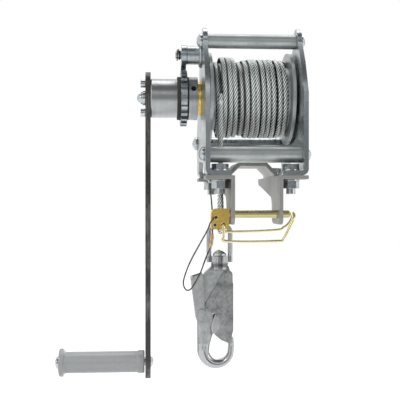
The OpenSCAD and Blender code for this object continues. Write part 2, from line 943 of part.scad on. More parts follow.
module bail() {
    low_x = leg_out + 2;
    tip = pin_end + bail_d / 2 + 1.5;
    px = bail_pivot[0];
    pz = bail_pivot[1];
    route = [
        [px, bail_near_y, pz], [px, bail_near_y, pz - 3], [px, bail_near_y, -154],
        [px + 4, bail_near_y, -159.5], [low_x - 8, bail_near_y, -159.5], [low_x - 1, bail_near_y, -157],
        [low_x + 6, bail_near_y, -144], [tip, bail_near_y + 2, -134], [tip, pin_y, -130],
        [tip, bail_far_y - 2, -134], [low_x + 8, bail_far_y, -140.5], [low_x + 2, bail_far_y, -145.5],
        [low_x - 8, bail_far_y, -148.6], [px + 5, bail_far_y, -150], [px, bail_far_y, pz - 3],
        [px, bail_far_y, pz]
    ];
    color(yellow_zinc)
        lifted() {
            tube(smooth(route, 4), bail_d, 8, [1, 0, 0]);
            bar_y(bail_near_y - bail_d / 2, bail_far_y + bail_d / 2, bail_d, bail_pivot);
        }
}

module lanyard() {
    color(dark_steel)
        lifted()
            tube(smooth(lanyard_route, lanyard_steps), lanyard_d, 8, [0, 0, 1]);
}

module lanyard_eyelet() {
    eyelet_t = 3.2;
    color(bright_steel)
        lifted()
            translate([-48.5, -56.5, -foot_drop - leg_t - eyelet_t])
                cylinder(h = eyelet_t, d = 4);
}

// The rope's hanging end
module hanging_rope() {
    color(rope_steel)
        lifted()
            tube([for (i = [0:4]) [rope_x, rope_y, rope_top + (ferrule_z[1] - rope_top) * i / 4]],
                rope_d, 12, [1, 0, 0]);
}

module ferrule() {
    color(bright_steel)
        lifted()
            translate([rope_x, rope_y, ferrule_z[0]])
                rotate_extrude()
                    polygon([
                        [0, 0], [ferrule_d / 2 - 1, 0], [ferrule_d / 2, 1.5],
                        [ferrule_d / 2, ferrule_z[1] - ferrule_z[0] - 4],
                        [ferrule_d / 2 - 2, ferrule_z[1] - ferrule_z[0]], [0, ferrule_z[1] - ferrule_z[0]]
                    ]);
}

// The rope's eye and its thimble stand in the plane across the hook
module at_thimble() {
    translate([rope_x, rope_y, thimble_z])
        children();
}

module eye_rope() {
    straight = thimble_top - thimble_z;
    top = ferrule_z[0] - thimble_z;
    neck = rope_d / 2 + 0.1;
    bend = [for (i = [0:16]) let (a = 180 + 180 * i / 16) [0, eye_r * cos(a), eye_r * sin(a)]];
    color(rope_steel)
        lifted()
            at_thimble()
                tube(concat(
                    [[0, -neck, top], [0, -neck, top - 2], [0, -eye_r, straight]], bend,
                    [[0, eye_r, straight], [0, neck, top - 2], [0, neck, top]]
                ), rope_d, 12, [1, 0, 0]);
}

module thimble_outline(outer) {
    straight = thimble_top - thimble_z - 1;
    difference() {
        union() {
            circle(r = outer);
            translate([-outer, 0])
                square([2 * outer, straight]);
        }
        circle(r = thimble_in);
        translate([-thimble_in, 0])
            square([2 * thimble_in, straight + 1]);
    }
}

module thimble() {
    outer = thimble_in + thimble_t;
    rim_t = 0.8;
    color(bright_steel)
        lifted()
            at_thimble() {
                sheet_x(-thimble_w / 2, thimble_w)
                    thimble_outline(outer);
                for (x = [-thimble_w / 2, thimble_w / 2 - rim_t])
                    sheet_x(x, rim_t)
                        thimble_outline(outer + 1.6);
            }
}

// Swivel eye: a bent bar on a drilled base
module swivel_eye() {
    top = eye_z;
    low = base_top - base_t;
    half = eye_half_w;
    color(cast_zinc)
        lifted()
            translate([hook_x, rope_y, 0])
                difference() {
                    union() {
                        for (side = [-1, 1]) {
                            bar_between([side * half, 0, low], [side * half, 0, top - eye_round], eye_bar_d);
                            translate([side * (half - eye_round), 0, top - eye_round])
                                rotate([90, 0, 0])
                                    rotate([0, 0, side > 0 ? 0 : 90])
                                        rotate_extrude(angle = 90)
                                            translate([eye_round, 0])
                                                circle(d = eye_bar_d);
                        }
                        bar_x(eye_round - half, half - eye_round, eye_bar_d, [0, top]);
                        translate([0, 0, low])
                            cylinder(h = base_t, r = base_r);
                    }
                    translate([0, 0, low - 1])
                        cylinder(h = base_t + 2, d = swivel_d + 2 * run_fit);
                }
}

module swivel_bolt() {
    head_z = base_top + body_gap;
    color(bright_steel)
        lifted()
            translate([hook_x, rope_y, 0]) {
                translate([0, 0, collar_top - 7])
                    cylinder(h = head_z - collar_top + 7, d = swivel_d);
                translate([0, 0, head_z])
                    cylinder(h = 2, d = bolt_head_d);
                translate([0, 0, head_z + 2])
                    dome(bolt_head_d, bolt_head_h - 2);
            }
}

// Hook body, drawn in (X, Z) from the swivel's axis
module hook_outline() {
    bowl = [-4.2, -279.2];
    polygon(concat(
        [[-9.4, -188], [-17, -196], [-21, -212], [-24.4, -232]],
        arc(bowl, 20.3, 180, 345, 16),
        [[16.1, -276], [15.2, -266], [13.8, -263.1], [10, -264]],
        arc([-1.4, -279.3], 10, 0, -175, 12),
        [[-10.6, -272], [-7, -260], [-8, -240], [-6.5, -222], [1.5, -206], [7.5, -202.6]],
        arc(gate_pivot, 5.2, 270, 420, 8),
        [[9.4, -188]]
    ));
}

module at_hook() {
    translate([hook_x, rope_y, 0])
        children();
}

module hook_body() {
    color(cast_zinc)
        lifted()
            at_hook()
                difference() {
                    union() {
                        sheet_y(-hook_t / 2, hook_t)
                            hook_outline();
                        translate([0, 0, collar_top - collar_h])
                            cylinder(h = collar_h, r = 9.4);
                    }
                    translate([0, 0, collar_top - 7])
                        cylinder(h = 8, d = swivel_d);
                    for (at = [gate_pivot, trigger_pivot]) {
                        bar_y(-hook_t, hook_t, rivet_d, at);
                        bar_y(-pocket_w / 2, pocket_w / 2, 2 * pocket_r - 1.6, at);
                    }
                }
}

module rivet(at, inner) {
    head = 1.3;
    out = inner + cheek_t + 0.2;
    bar_y(-out - head, out + head, rivet_d, at);
    for (side = [-1, 1])
        bar_y(side > 0 ? out : -out - head, side > 0 ? out + head : -out, rivet_d + 3, at);
}

module rivet_spring(at) {
    turns = 4;
    r = rivet_d / 2 + 0.3 + spring_wire / 2;
    coil = [for (i = [0:8 * turns])
        [at[0] + r * cos(45 * i), (i / 8 - turns / 2) * 1.45, at[1] + r * sin(45 * i)]];
    tube(coil, spring_wire, 6, [0, 1, 0]);
}

module gate_rivet() {
    color(bright_steel)
        lifted()
            at_hook()
                rivet(gate_pivot, cheek_y);
}

module trigger_rivet() {
    color(bright_steel)
        lifted()
            at_hook()
                rivet(trigger_pivot, trigger_y);
}

module gate_spring() {
    color(dark_steel)
        lifted()
            at_hook()
                rivet_spring(gate_pivot);
}

module trigger_spring() {
    color(dark_steel)
        lifted()
            at_hook()
                rivet_spring(trigger_pivot);
}

// Gate: two cheeks and the web that closes the hook's mouth
module gate_outline() {
    polygon(concat(
        arc(gate_pivot, 5.5, 20, 140, 6),
        [[-16.6, -229], [-16.4, -232.4], [-13, -234.5], [-4.6, -240.5], [-1.2, -246], [-1.6, -254],
            [-6.2, -261.5], [1, -267.5], [8.6, -270.8], [12.2, -266], [14.2, -256]]
    ));
}

module gate() {
    color(cast_zinc)
        lifted()
            at_hook()
                difference() {
                    union() {
                        for (y = [-cheek_y - cheek_t, cheek_y])
                            sheet_y(y, cheek_t)
                                gate_outline();
                        sheet_y(-cheek_y - cheek_t, 2 * (cheek_y + cheek_t))
                            polygon([[12.2, -256], [14.2, -256], [14.2, -206], [12.2, -206]]);
                    }
                    bar_y(-30, 30, rivet_d + 2 * run_fit, gate_pivot);
                }
}

// Trigger at the hook's back: two cheeks and the lever's web
module trigger() {
    color(cast_zinc)
        lifted()
            at_hook()
                difference() {
                    union() {
                        for (y = [-trigger_y - cheek_t, trigger_y])
                            sheet_y(y, cheek_t)
                                polygon([[-31.8, -199.7], [-18.7, -195.3], [-17.4, -226], [-17.4, -240],
                                    [-20, -245], [-26, -245]]);
                        sheet_y(-trigger_y - cheek_t, 2 * (trigger_y + cheek_t))
                            polygon([[-31.8, -199.7], [-29.8, -199.1], [-25.2, -240], [-25.4, -245],
                                [-26, -245]]);
                    }
                    bar_y(-30, 30, rivet_d + 2 * run_fit, trigger_pivot);
                }
}

side_plate_left();
side_plate_right();
tie_rod_top();
tie_rod_front();
tie_rod_rear();
tie_bolts();
bracket();
foot_bolts();
foot_washers();
foot_nuts();
shaft_bush_left();
shaft_bush_right();
pawl_stud();
pawl_weld();
pawl_clip();
pawl();
pawl_spring();
drum();
drum_key();
drive_shaft();
shaft_circlip();
rope_core();
rope_winding();
brake_collar();
collar_screw();
crank_nut();
ratchet_wheel();
friction_disc_inner();
friction_disc_outer();
crank_hub();
crank_arm();
crank_screws();
grip_spindle();
grip_nut();
grip();
lock_pin();
pin_block();
bail();
lanyard();
lanyard_eyelet();
hanging_rope();
ferrule();
eye_rope();
thimble();
swivel_eye();
swivel_bolt();
hook_body();
gate_rivet();
gate_spring();
trigger_rivet();
trigger_spring();
gate();
trigger();
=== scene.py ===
"""Looks of a hand-cranked wire-rope winch on its tripod bracket, with a swivel snap hook."""
import json
import logging
import math
from dataclasses import dataclass, field
from enum import Enum

import bmesh
import bpy
import numpy as np
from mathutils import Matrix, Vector


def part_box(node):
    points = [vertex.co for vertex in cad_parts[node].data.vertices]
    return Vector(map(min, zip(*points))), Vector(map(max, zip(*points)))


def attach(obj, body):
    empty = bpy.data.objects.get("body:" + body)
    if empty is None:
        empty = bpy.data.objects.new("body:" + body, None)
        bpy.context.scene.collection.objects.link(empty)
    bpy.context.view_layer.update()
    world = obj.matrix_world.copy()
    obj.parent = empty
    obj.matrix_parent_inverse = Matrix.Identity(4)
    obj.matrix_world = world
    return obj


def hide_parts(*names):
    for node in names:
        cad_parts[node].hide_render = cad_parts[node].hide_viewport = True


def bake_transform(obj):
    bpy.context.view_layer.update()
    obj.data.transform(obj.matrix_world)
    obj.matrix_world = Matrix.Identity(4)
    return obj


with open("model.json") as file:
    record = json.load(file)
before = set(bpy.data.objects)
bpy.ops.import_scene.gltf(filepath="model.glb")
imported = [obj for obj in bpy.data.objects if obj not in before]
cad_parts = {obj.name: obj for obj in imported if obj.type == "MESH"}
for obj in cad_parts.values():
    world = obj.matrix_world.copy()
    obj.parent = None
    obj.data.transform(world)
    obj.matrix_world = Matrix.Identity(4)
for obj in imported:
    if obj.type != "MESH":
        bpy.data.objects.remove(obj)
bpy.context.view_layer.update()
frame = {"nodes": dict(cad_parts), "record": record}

log = logging.getLogger("winch")
Triple = tuple[float, float, float]
Pair = tuple[float, float]
MM = 0.001
TAU = 2 * math.pi
# Height of the drum's shaft above the frame's origin, in metres. Routes in millimetres count from it.
SHAFT = 0.079


class Flow(Enum):
    """How a finish's marks run over a piece, as the stretch of its noise along each axis."""

    EVEN = (1.0, 1.0, 1.0)
    TURNED = (1.0, 0.04, 0.04)
    ALONG_X = (0.05, 1.0, 1.0)
    UPRIGHT = (1.0, 1.0, 0.05)


class Sock:
    """A shader value: the usual operators on it add Math nodes."""

    def __init__(self, shader: "Shader", link: bpy.types.NodeSocket) -> None:
        """Wraps an output socket of a shader's tree."""
        self.shader = shader
        self.link = link

    def _do(self, operation: str, *values: object) -> "Sock":
        """Adds one Math node and returns its value."""
        return self.shader.add("ShaderNodeMath", {"operation": operation}, dict(enumerate(values)))[0]

    def __add__(self, other: object) -> "Sock":
        """Sum."""
        return self._do("ADD", self, other)

    __radd__ = __add__

    def __sub__(self, other: object) -> "Sock":
        """Difference."""
        return self._do("SUBTRACT", self, other)

    def __rsub__(self, other: object) -> "Sock":
        """Difference with the value on the right."""
        return self._do("SUBTRACT", other, self)

    def __mul__(self, other: object) -> "Sock":
        """Product."""
        return self._do("MULTIPLY", self, other)

    __rmul__ = __mul__

    def sine(self) -> "Sock":
        """Sine of the value."""
        return self._do("SINE", self)

    def power(self, exponent: float) -> "Sock":
        """The value to a power."""
        return self._do("POWER", self, exponent)

    def most(self, other: object) -> "Sock":
        """The larger of two values."""
        return self._do("MAXIMUM", self, other)

    def ramp(self, low: float, high: float) -> "Sock":
        """0 below low, 1 above high, and a straight rise between them."""
        sockets = {"Value": self, "From Min": low, "From Max": high}
        return self.shader.add("ShaderNodeMapRange", {"clamp": True}, sockets)[0]


class Coordinates(Enum):
    """Outputs of the Texture Coordinate node, by number."""

    UV = 2
    OBJECT = 3


class Shader:
    """The nodes of one material or world."""

    def __init__(self, owner: bpy.types.Material | bpy.types.World) -> None:
        """Takes hold of a new tree.

        Args:
            owner: A new material or world, which has only its own shader and output node.
        """
        owner.use_nodes = True
        self.owner = owner
        self.tree = owner.node_tree
        self.surface, self.output = self.tree.nodes[:2]

    @classmethod
    def material(cls, name: str) -> "Shader":
        """Makes a material and returns its shader."""
        return cls(bpy.data.materials.new(name))

    def add(self, kind: str, settings: dict[str, object], sockets: dict[str | int, object]) -> list[Sock]:
        """Adds a node.

        Args:
            kind: The node's type.
            settings: Its own settings, which are set first.
            sockets: Values or links by the input's name or number.

        Returns:
            The node's outputs.
        """
        made = self.tree.nodes.new(kind)
        for key, value in settings.items():
            setattr(made, key, value)
        for key, value in sockets.items():
            self.plug(made.inputs[key], value)
        return [Sock(self, out) for out in made.outputs]

    def plug(self, socket: bpy.types.NodeSocket, value: object) -> None:
        """Links a value to a socket, or sets it there.

        Args:
            socket: The input.
            value: Another node's value to link, or a number, colour or vector to set.
        """
        if isinstance(value, Sock):
            self.tree.links.new(value.link, socket)
        elif isinstance(value, tuple) and len(value) == 3 and socket.type == "RGBA":
            socket.default_value = (*value, 1.0)
        else:
            socket.default_value = value

    def feed(self, **values: object) -> None:
        """Sets or links sockets of the shader, with _ in a name for a space."""
        for key, value in values.items():
            self.plug(self.surface.inputs[key.replace("_", " ")], value)

    def coordinates(self, kind: Coordinates) -> Sock:
        """Texture coordinates of one kind."""
        return self.add("ShaderNodeTexCoord", {}, {})[kind.value]

    def place(self, stretch: Triple = (1, 1, 1)) -> Sock:
        """Object coordinates in metres, stretched along the axes."""
        here = self.coordinates(Coordinates.OBJECT)
        return self.add("ShaderNodeMapping", {}, {"Vector": here, "Scale": stretch})[0]

    def parts(self, kind: Coordinates) -> list[Sock]:
        """The X, Y and Z of texture coordinates, which for a UV map are U, V and nothing."""
        return self.add("ShaderNodeSeparateXYZ", {}, {"Vector": self.coordinates(kind)})

    def noise(self, place: Sock, scale: float, detail: float, rough: float) -> Sock:
        """Cloudy noise, about 0.5 in the middle."""
        sockets = {"Vector": place, "Scale": scale, "Detail": detail, "Roughness": rough}
        return self.add("ShaderNodeTexNoise", {}, sockets)[0]

    def blend(self, factor: object, low: object, high: object) -> Sock:
        """A colour between two colours, at the Mix node's inputs 6 and 7 and its output 2."""
        return self.add("ShaderNodeMix", {"data_type": "RGBA"}, {"Factor": factor, 6: low, 7: high})[2]

    def bump(self, height: Sock, depth: float, strength: float) -> None:
        """Feeds a height, in parts of depth in metres, to the shader's Normal."""
        sockets = {"Height": height, "Distance": depth, "Strength": strength}
        self.feed(Normal=self.add("ShaderNodeBump", {}, sockets)[0])

    def own(self) -> Sock:
        """What the tree's own shader gives."""
        return Sock(self, self.surface.outputs[0])

    def seen_as(self, other: Sock) -> None:
        """Shows another shader to camera, glossy and transmission rays, and this one to the rest.

        Args:
            other: What those rays see.
        """
        rays = {ray.link.name: ray for ray in self.add("ShaderNodeLightPath", {}, {})}
        seen = rays["Is Camera Ray"].most(rays["Is Glossy Ray"]).most(rays["Is Transmission Ray"])
        mixed = self.add("ShaderNodeMixShader", {}, {0: seen, 1: self.own(), 2: other})[0]
        self.plug(self.output.inputs[0], mixed)


@dataclass(frozen=True)
class Metal:
    """A plated, turned or rolled metal with marks, stains and a fine grain.

    The roughness is rough, and spread is how far stains and streaks change it. patch and grain are the
    scales of the stains and of the grain, and depth is the bump's, in metres.
    """

    name: str
    colour: Triple
    stain: Triple
    rough: float
    spread: float = 0.12
    flow: Flow = Flow.EVEN
    patch: float = 26.0
    metallic: float = 1.0
    grain: float = 900.0
    depth: float = 0.00004

    def make(self) -> bpy.types.Material:
        """Builds the material.

        The tone is 0.6 of the streaks in the flow and 0.6 of the worn clouds, from the colour to the
        stain. The bump is 0.7 of the streaks and 0.5 of the specks.

        Returns:
            The material.
        """
        s = Shader.material(self.name)
        even = s.place()
        clouds = s.noise(even, scale=self.patch, detail=5.0, rough=0.65)
        streaks = s.noise(s.place(self.flow.value), scale=self.grain * 0.35, detail=3.0, rough=0.7)
        specks = s.noise(even, scale=self.grain, detail=2.0, rough=0.5)
        worn = clouds.ramp(0.35, 0.72)
        tone = (streaks * 0.6 + worn * 0.6).ramp(0.2, 1.0)
        s.feed(Base_Color=s.blend(tone, self.colour, self.stain), Metallic=self.metallic)
        s.feed(Roughness=self.rough + (worn - 0.5) * self.spread + (streaks - 0.5) * self.spread)
        s.bump(streaks * 0.7 + specks * 0.5, self.depth, strength=0.6)
        return s.owner


@dataclass(frozen=True)
class RolledBar:
    """Dark rolled bar with mill scale, rubbed brighter in patches along its length.

    The runs stretch the patches and the marks along each axis, and depth is the bump's, in metres.
    """

    name: str
    scale_tone: Triple = (0.085, 0.08, 0.075)
    rubbed: Triple = (0.34, 0.335, 0.32)
    patch_run: Triple = (0.6, 0.6, 0.22)
    mark_run: Triple = (1.0, 1.0, 0.06)
    depth: float = 0.00010

    def make(self) -> bpy.types.Material:
        """Builds the material.

        It is rubbed where long patches and 0.35 of fine lengthwise marks pass a threshold, and pitted
        where it isn't.

        Returns:
            The material.
        """
        s = Shader.material(self.name)
        patches = s.noise(s.place(self.patch_run), scale=75.0, detail=5.0, rough=0.7)
        marks = s.noise(s.place(self.mark_run), scale=600.0, detail=3.0, rough=0.7)
        pits = s.noise(s.place(), scale=1100.0, detail=3.0, rough=0.7)
        worn = (patches + (marks - 0.5) * 0.35).ramp(0.47, 0.72)
        s.feed(Base_Color=s.blend(worn, self.scale_tone, self.rubbed), Metallic=0.9)
        s.feed(Roughness=0.42 - worn * 0.16 + (pits - 0.5) * 0.12)
        s.bump(marks * 0.6 + pits * (1 - worn) * 0.8, self.depth, strength=0.7)
        return s.owner


@dataclass(frozen=True)
class StrandedWire:
    """Galvanised wire rope: bright wires with painted shade in the grooves between them, read from the
    piece's UV map.

    That many wires lie side by side round the rope. Along it their wave moves on by wave_per_metre, in
    radians, and depth is the bump's, in metres.
    """

    name: str
    wires: int
    colour: Triple
    groove_shade_colour: Triple
    wave_per_metre: float = 240.0
    depth: float = 0.00008

    def make(self) -> bpy.types.Material:
        """Builds the material.

        U runs round the rope and V along it, in metres. A wire is a sine of both, so that it winds round the
        rope. The painted shade is 1.7 of the piece's own groove attribute, which holds the grooves between
        strands and the painted shade on the side between turns, 0.1 of the gaps between wires, and 0.4 of the
        real dirt.

        Returns:
            The material.
        """
        s = Shader.material(self.name)
        u, v = s.parts(Coordinates.UV)[:2]
        wave = (u * (TAU * self.wires) + v * self.wave_per_metre).sine()
        wire = (wave * 0.5 + 0.5).power(0.6)
        groove = s.add("ShaderNodeAttribute", {"attribute_name": Surface.GROOVE_SHADE}, {})[2]
        dirt = s.noise(s.place(), scale=60.0, detail=4.0, rough=0.7)
        # Painted shade: the grooves, the shaded side between turns and the gaps between wires pull the colour
        # towards the dark groove colour; the dirt noise is real dirt.
        shade = (groove * 1.7 + (1 - wire) * 0.10 + (dirt - 0.5) * 0.4).ramp(0.33, 1.0)
        s.feed(Base_Color=s.blend(shade, self.colour, self.groove_shade_colour), Metallic=0.9)
        s.feed(Roughness=0.38 + groove * 0.3 + (dirt - 0.5) * 0.2)
        s.bump(wire, self.depth, strength=0.5)
        return s.owner


@dataclass(frozen=True)
class Forging:
    """A sandy plated forging, ground bright in some bands of height and darkened by painted shade in others.

    Bands are lowest and highest heights in metres. The shine is the grey of ground metal, shade_depth is how
    far the painted shade darkens the skin, and waviness is how far the clouds move the bands' edges.
    """

    name: str
    skin: Triple
    pits: Triple
    ground: tuple[Pair, ...] = ()
    # Bands of height that get painted shade; below, how far it darkens and its colour.
    shaded_bands: tuple[Pair, ...] = ()
    edge: float = 0.0012
    shade_depth: float = 0.75
    painted_shade: Triple = (0.07, 0.07, 0.07)
    shine: Triple = (0.46, 0.46, 0.46)
    waviness: float = 0.004
    depth: float = 0.00025

    @staticmethod
    def banded(height: Sock, bands: tuple[Pair, ...], edge: float) -> object:
        """How far a height lies within any of the bands, from 0 to 1.

        Args:
            height: The height at each point.
            bands: The lowest and highest height of each band.
            edge: Half the width over which a band fades in or out.

        Returns:
            The sum over the bands of a rise at the low end times a fall at the high one.
        """
        inside: object = 0.0
        for low, high in bands:
            rise = height.ramp(low - edge, low + edge)
            fall = 1 - height.ramp(high - edge, high + edge)
            inside = rise * fall + inside
        return inside

    def make(self) -> bpy.types.Material:
        """Builds the material.

        The skin's tone is 1.1 of the clouds, 1.3 of the blots and 0.8 of the sand, about their middle, and
        the clouds make the bands' edges wavy. Where it is ground it is bright, smooth and flat, and in the
        shaded bands it is darkened with painted shade.

        Returns:
            The material.
        """
        s = Shader.material(self.name)
        here = s.place()
        height = s.parts(Coordinates.OBJECT)[2]
        sand = s.noise(here, scale=1300.0, detail=4.0, rough=0.75)
        clouds = s.noise(here, scale=70.0, detail=5.0, rough=0.7)
        blots = s.noise(here, scale=260.0, detail=4.0, rough=0.7)
        wave = (clouds - 0.5) * self.waviness
        polish = self.banded(height + wave, self.ground, self.edge)
        # Painted shade in its bands of height.
        painted_shade = self.banded(height + wave, self.shaded_bands, self.edge)
        tone = ((clouds - 0.5) * 1.1 + (blots - 0.5) * 1.3 + (sand - 0.5) * 0.8 + 0.5).ramp(0.1, 0.9)
        plain = s.blend(polish, s.blend(tone, self.pits, self.skin), self.shine)
        s.feed(Base_Color=s.blend(painted_shade * self.shade_depth, plain, self.painted_shade))
        s.feed(Metallic=0.9, Roughness=0.42 + (blots - 0.5) * 0.25 - polish * 0.26)
        s.bump(sand * (1 - polish * 0.9) + blots * (1 - polish * 0.6) * 0.7, self.depth, strength=0.9)
        return s.owner


@dataclass(frozen=True)
class MouldedGrip:
    """Light grey moulded plastic, a little dusty and scuffed.

    The runs stretch the rings and the scuffs along each axis, and depth is the bump's, in metres.
    """

    name: str
    clean: Triple = (0.60, 0.605, 0.595)
    scuffed: Triple = (0.46, 0.46, 0.45)
    ring_run: Triple = (1.0, 0.03, 0.03)
    scuff_run: Triple = (0.3, 1.0, 1.0)
    depth: float = 0.00005

    def make(self) -> bpy.types.Material:
        """Builds the material.

        The tone is 0.6 of the scuffs and 0.5 of faint rings round the grip. The bump is half the soft
        skin of the mould and half the rings.

        Returns:
            The material.
        """
        s = Shader.material(self.name)
        skin = s.noise(s.place(), scale=2200.0, detail=2.0, rough=0.5)
        rings = s.noise(s.place(self.ring_run), scale=420.0, detail=2.0, rough=0.5)
        scuff = s.noise(s.place(self.scuff_run), scale=90.0, detail=5.0, rough=0.75).ramp(0.55, 0.8)
        tone = (scuff * 0.6 + (rings - 0.5) * 0.5).ramp(0.0, 1.0)
        s.feed(Base_Color=s.blend(tone, self.clean, self.scuffed))
        s.feed(Roughness=0.27 + scuff * 0.2 + (skin - 0.5) * 0.1, Specular_IOR_Level=0.6)
        s.feed(Subsurface_Weight=0.15, Subsurface_Scale=0.004)
        s.bump(skin * 0.5 + rings * 0.5, self.depth, strength=0.5)
        return s.owner


@dataclass(frozen=True)
class Lining:
    """Dark pressed friction lining with pale flecks."""

    name: str
    matt: Triple = (0.055, 0.05, 0.047)
    fleck: Triple = (0.20, 0.18, 0.15)
    depth: float = 0.00008

    def make(self) -> bpy.types.Material:
        """Builds the material: flecks in a dark matt body.

        Returns:
            The material.
        """
        s = Shader.material(self.name)
        flecks = s.noise(s.place(), scale=1500.0, detail=3.0, rough=0.8).ramp(0.6, 0.72)
        body = s.noise(s.place(), scale=120.0, detail=4.0, rough=0.6)
        s.feed(Base_Color=s.blend(flecks, self.matt, self.fleck))
        s.feed(Roughness=0.75 + (body - 0.5) * 0.2)
        s.bump(flecks + body, self.depth, strength=0.7)
        return s.owner


class Finishes:
    """The winch's materials, each made once."""

    def __init__(self) -> None:
        """Makes every material."""
        self.metals()
        self.ropes()
        self.forgings()
        self.grip = MouldedGrip("grip_plastic").make()
        self.lining = Lining("brake_lining").make()

    def metals(self) -> None:
        """Makes the plated, turned and rolled metals. The numbers after the colours are the roughness."""
        upright, along, turned = Flow.UPRIGHT, Flow.ALONG_X, Flow.TURNED
        self.zinc = Metal("zinc_plate", (0.50, 0.535, 0.545), (0.27, 0.30, 0.31), 0.30, flow=upright,
                          patch=60.0).make()
        self.bright = Metal("bright_steel", (0.62, 0.65, 0.655), (0.34, 0.37, 0.375), 0.20, flow=along).make()
        self.turned = Metal("turned_steel", (0.45, 0.46, 0.46), (0.29, 0.295, 0.30), 0.33, flow=turned).make()
        self.dark = Metal("dark_steel", (0.13, 0.12, 0.11), (0.055, 0.05, 0.045), 0.36).make()
        self.arm = RolledBar("arm_steel").make()
        self.warm = Metal("warm_steel", (0.50, 0.49, 0.46), (0.36, 0.352, 0.33), 0.46, flow=upright,
                          metallic=0.35).make()
        self.bolts = Metal("bolt_zinc", (0.60, 0.63, 0.635), (0.33, 0.355, 0.36), 0.16, patch=220.0).make()
        self.flange = Metal("drum_steel", (0.60, 0.625, 0.63), (0.40, 0.42, 0.425), 0.42, metallic=0.6).make()
        self.tube = Metal("spacer_tube", (0.52, 0.555, 0.54), (0.38, 0.41, 0.395), 0.44, spread=0.1,
                          flow=along, patch=50.0, metallic=0.8).make()
        self.yellow = Metal("yellow_zinc", (0.60, 0.52, 0.24), (0.42, 0.39, 0.20), 0.26, flow=along).make()
        self.wire = Metal("yellow_wire", (0.90, 0.82, 0.50), (0.66, 0.60, 0.32), 0.24, flow=along).make()
        self.brass = Metal("gold_passivation", (1.0, 0.70, 0.17), (0.92, 0.58, 0.13), 0.30, spread=0.15,
                           patch=120.0).make()
        self.sleeve = Metal("sleeve_copper", (0.62, 0.44, 0.25), (0.40, 0.29, 0.18), 0.36, patch=200.0).make()

    def ropes(self) -> None:
        """Makes the wire rope and the lanyard. The number is that of the wires round the rope, and the second
        colour is the painted shade in the grooves.
        """
        self.rope = StrandedWire("wire_rope", 49, (0.97, 1.0, 0.975), (0.06, 0.062, 0.06)).make()
        self.cord = StrandedWire("lanyard_wire", 7, (0.16, 0.15, 0.14), (0.04, 0.035, 0.03)).make()

    def forgings(self) -> None:
        """Makes the swivel eye, hook, gate and trigger. Their bands are heights in metres."""
        eye_ground = ((-0.120, -0.0972),)
        self.eye = Forging("forged_eye", (0.56, 0.57, 0.58), (0.36, 0.37, 0.37), eye_ground).make()
        hook_ground = ((-0.300, -0.1935), (-0.1122, -0.09))
        # Painted shade at the collar's base and under the swivel bolt's head.
        hook_shade = ((-0.1100, -0.1055), (-0.0985, -0.0962))
        self.hook = Forging("forged_hook", (0.55, 0.57, 0.56), (0.31, 0.325, 0.315), hook_ground,
                            hook_shade).make()
        # A band of painted shade across the gate.
        gate_shade = ((-0.1320, -0.1265),)
        self.gate = Forging("forged_gate", (0.48, 0.49, 0.485), (0.17, 0.175, 0.17), (), gate_shade,
                            edge=0.0034, shade_depth=0.48).make()
        self.trigger = Forging("forged_trigger", (0.56, 0.565, 0.56), (0.36, 0.365, 0.36)).make()


def run_length(path: np.ndarray) -> np.ndarray:
    """Length along a path at each of its points."""
    return np.concatenate([[0], np.cumsum(np.linalg.norm(np.diff(path, axis=0), axis=1))])


def eased(part: np.ndarray | float) -> np.ndarray | float:
    """A smooth rise from 0 to 1: three times the square less twice the cube."""
    return part * part * (3 - 2 * part)


def in_metres(points: tuple[Triple, ...] | list[Triple]) -> list[Triple]:
    """Points given in millimetres, with heights from the shaft, in the frame's metres."""
    return [(x * MM, y * MM, SHAFT + z * MM) for x, y, z in points]


@dataclass(frozen=True)
class Twist:
    """How a rope's strands are laid: their number, one twist's length and the groove between them.

    The groove is a part of the rope's radius.
    """

    strands: int = 6
    lay: float = 0.027
    groove: float = 0.27


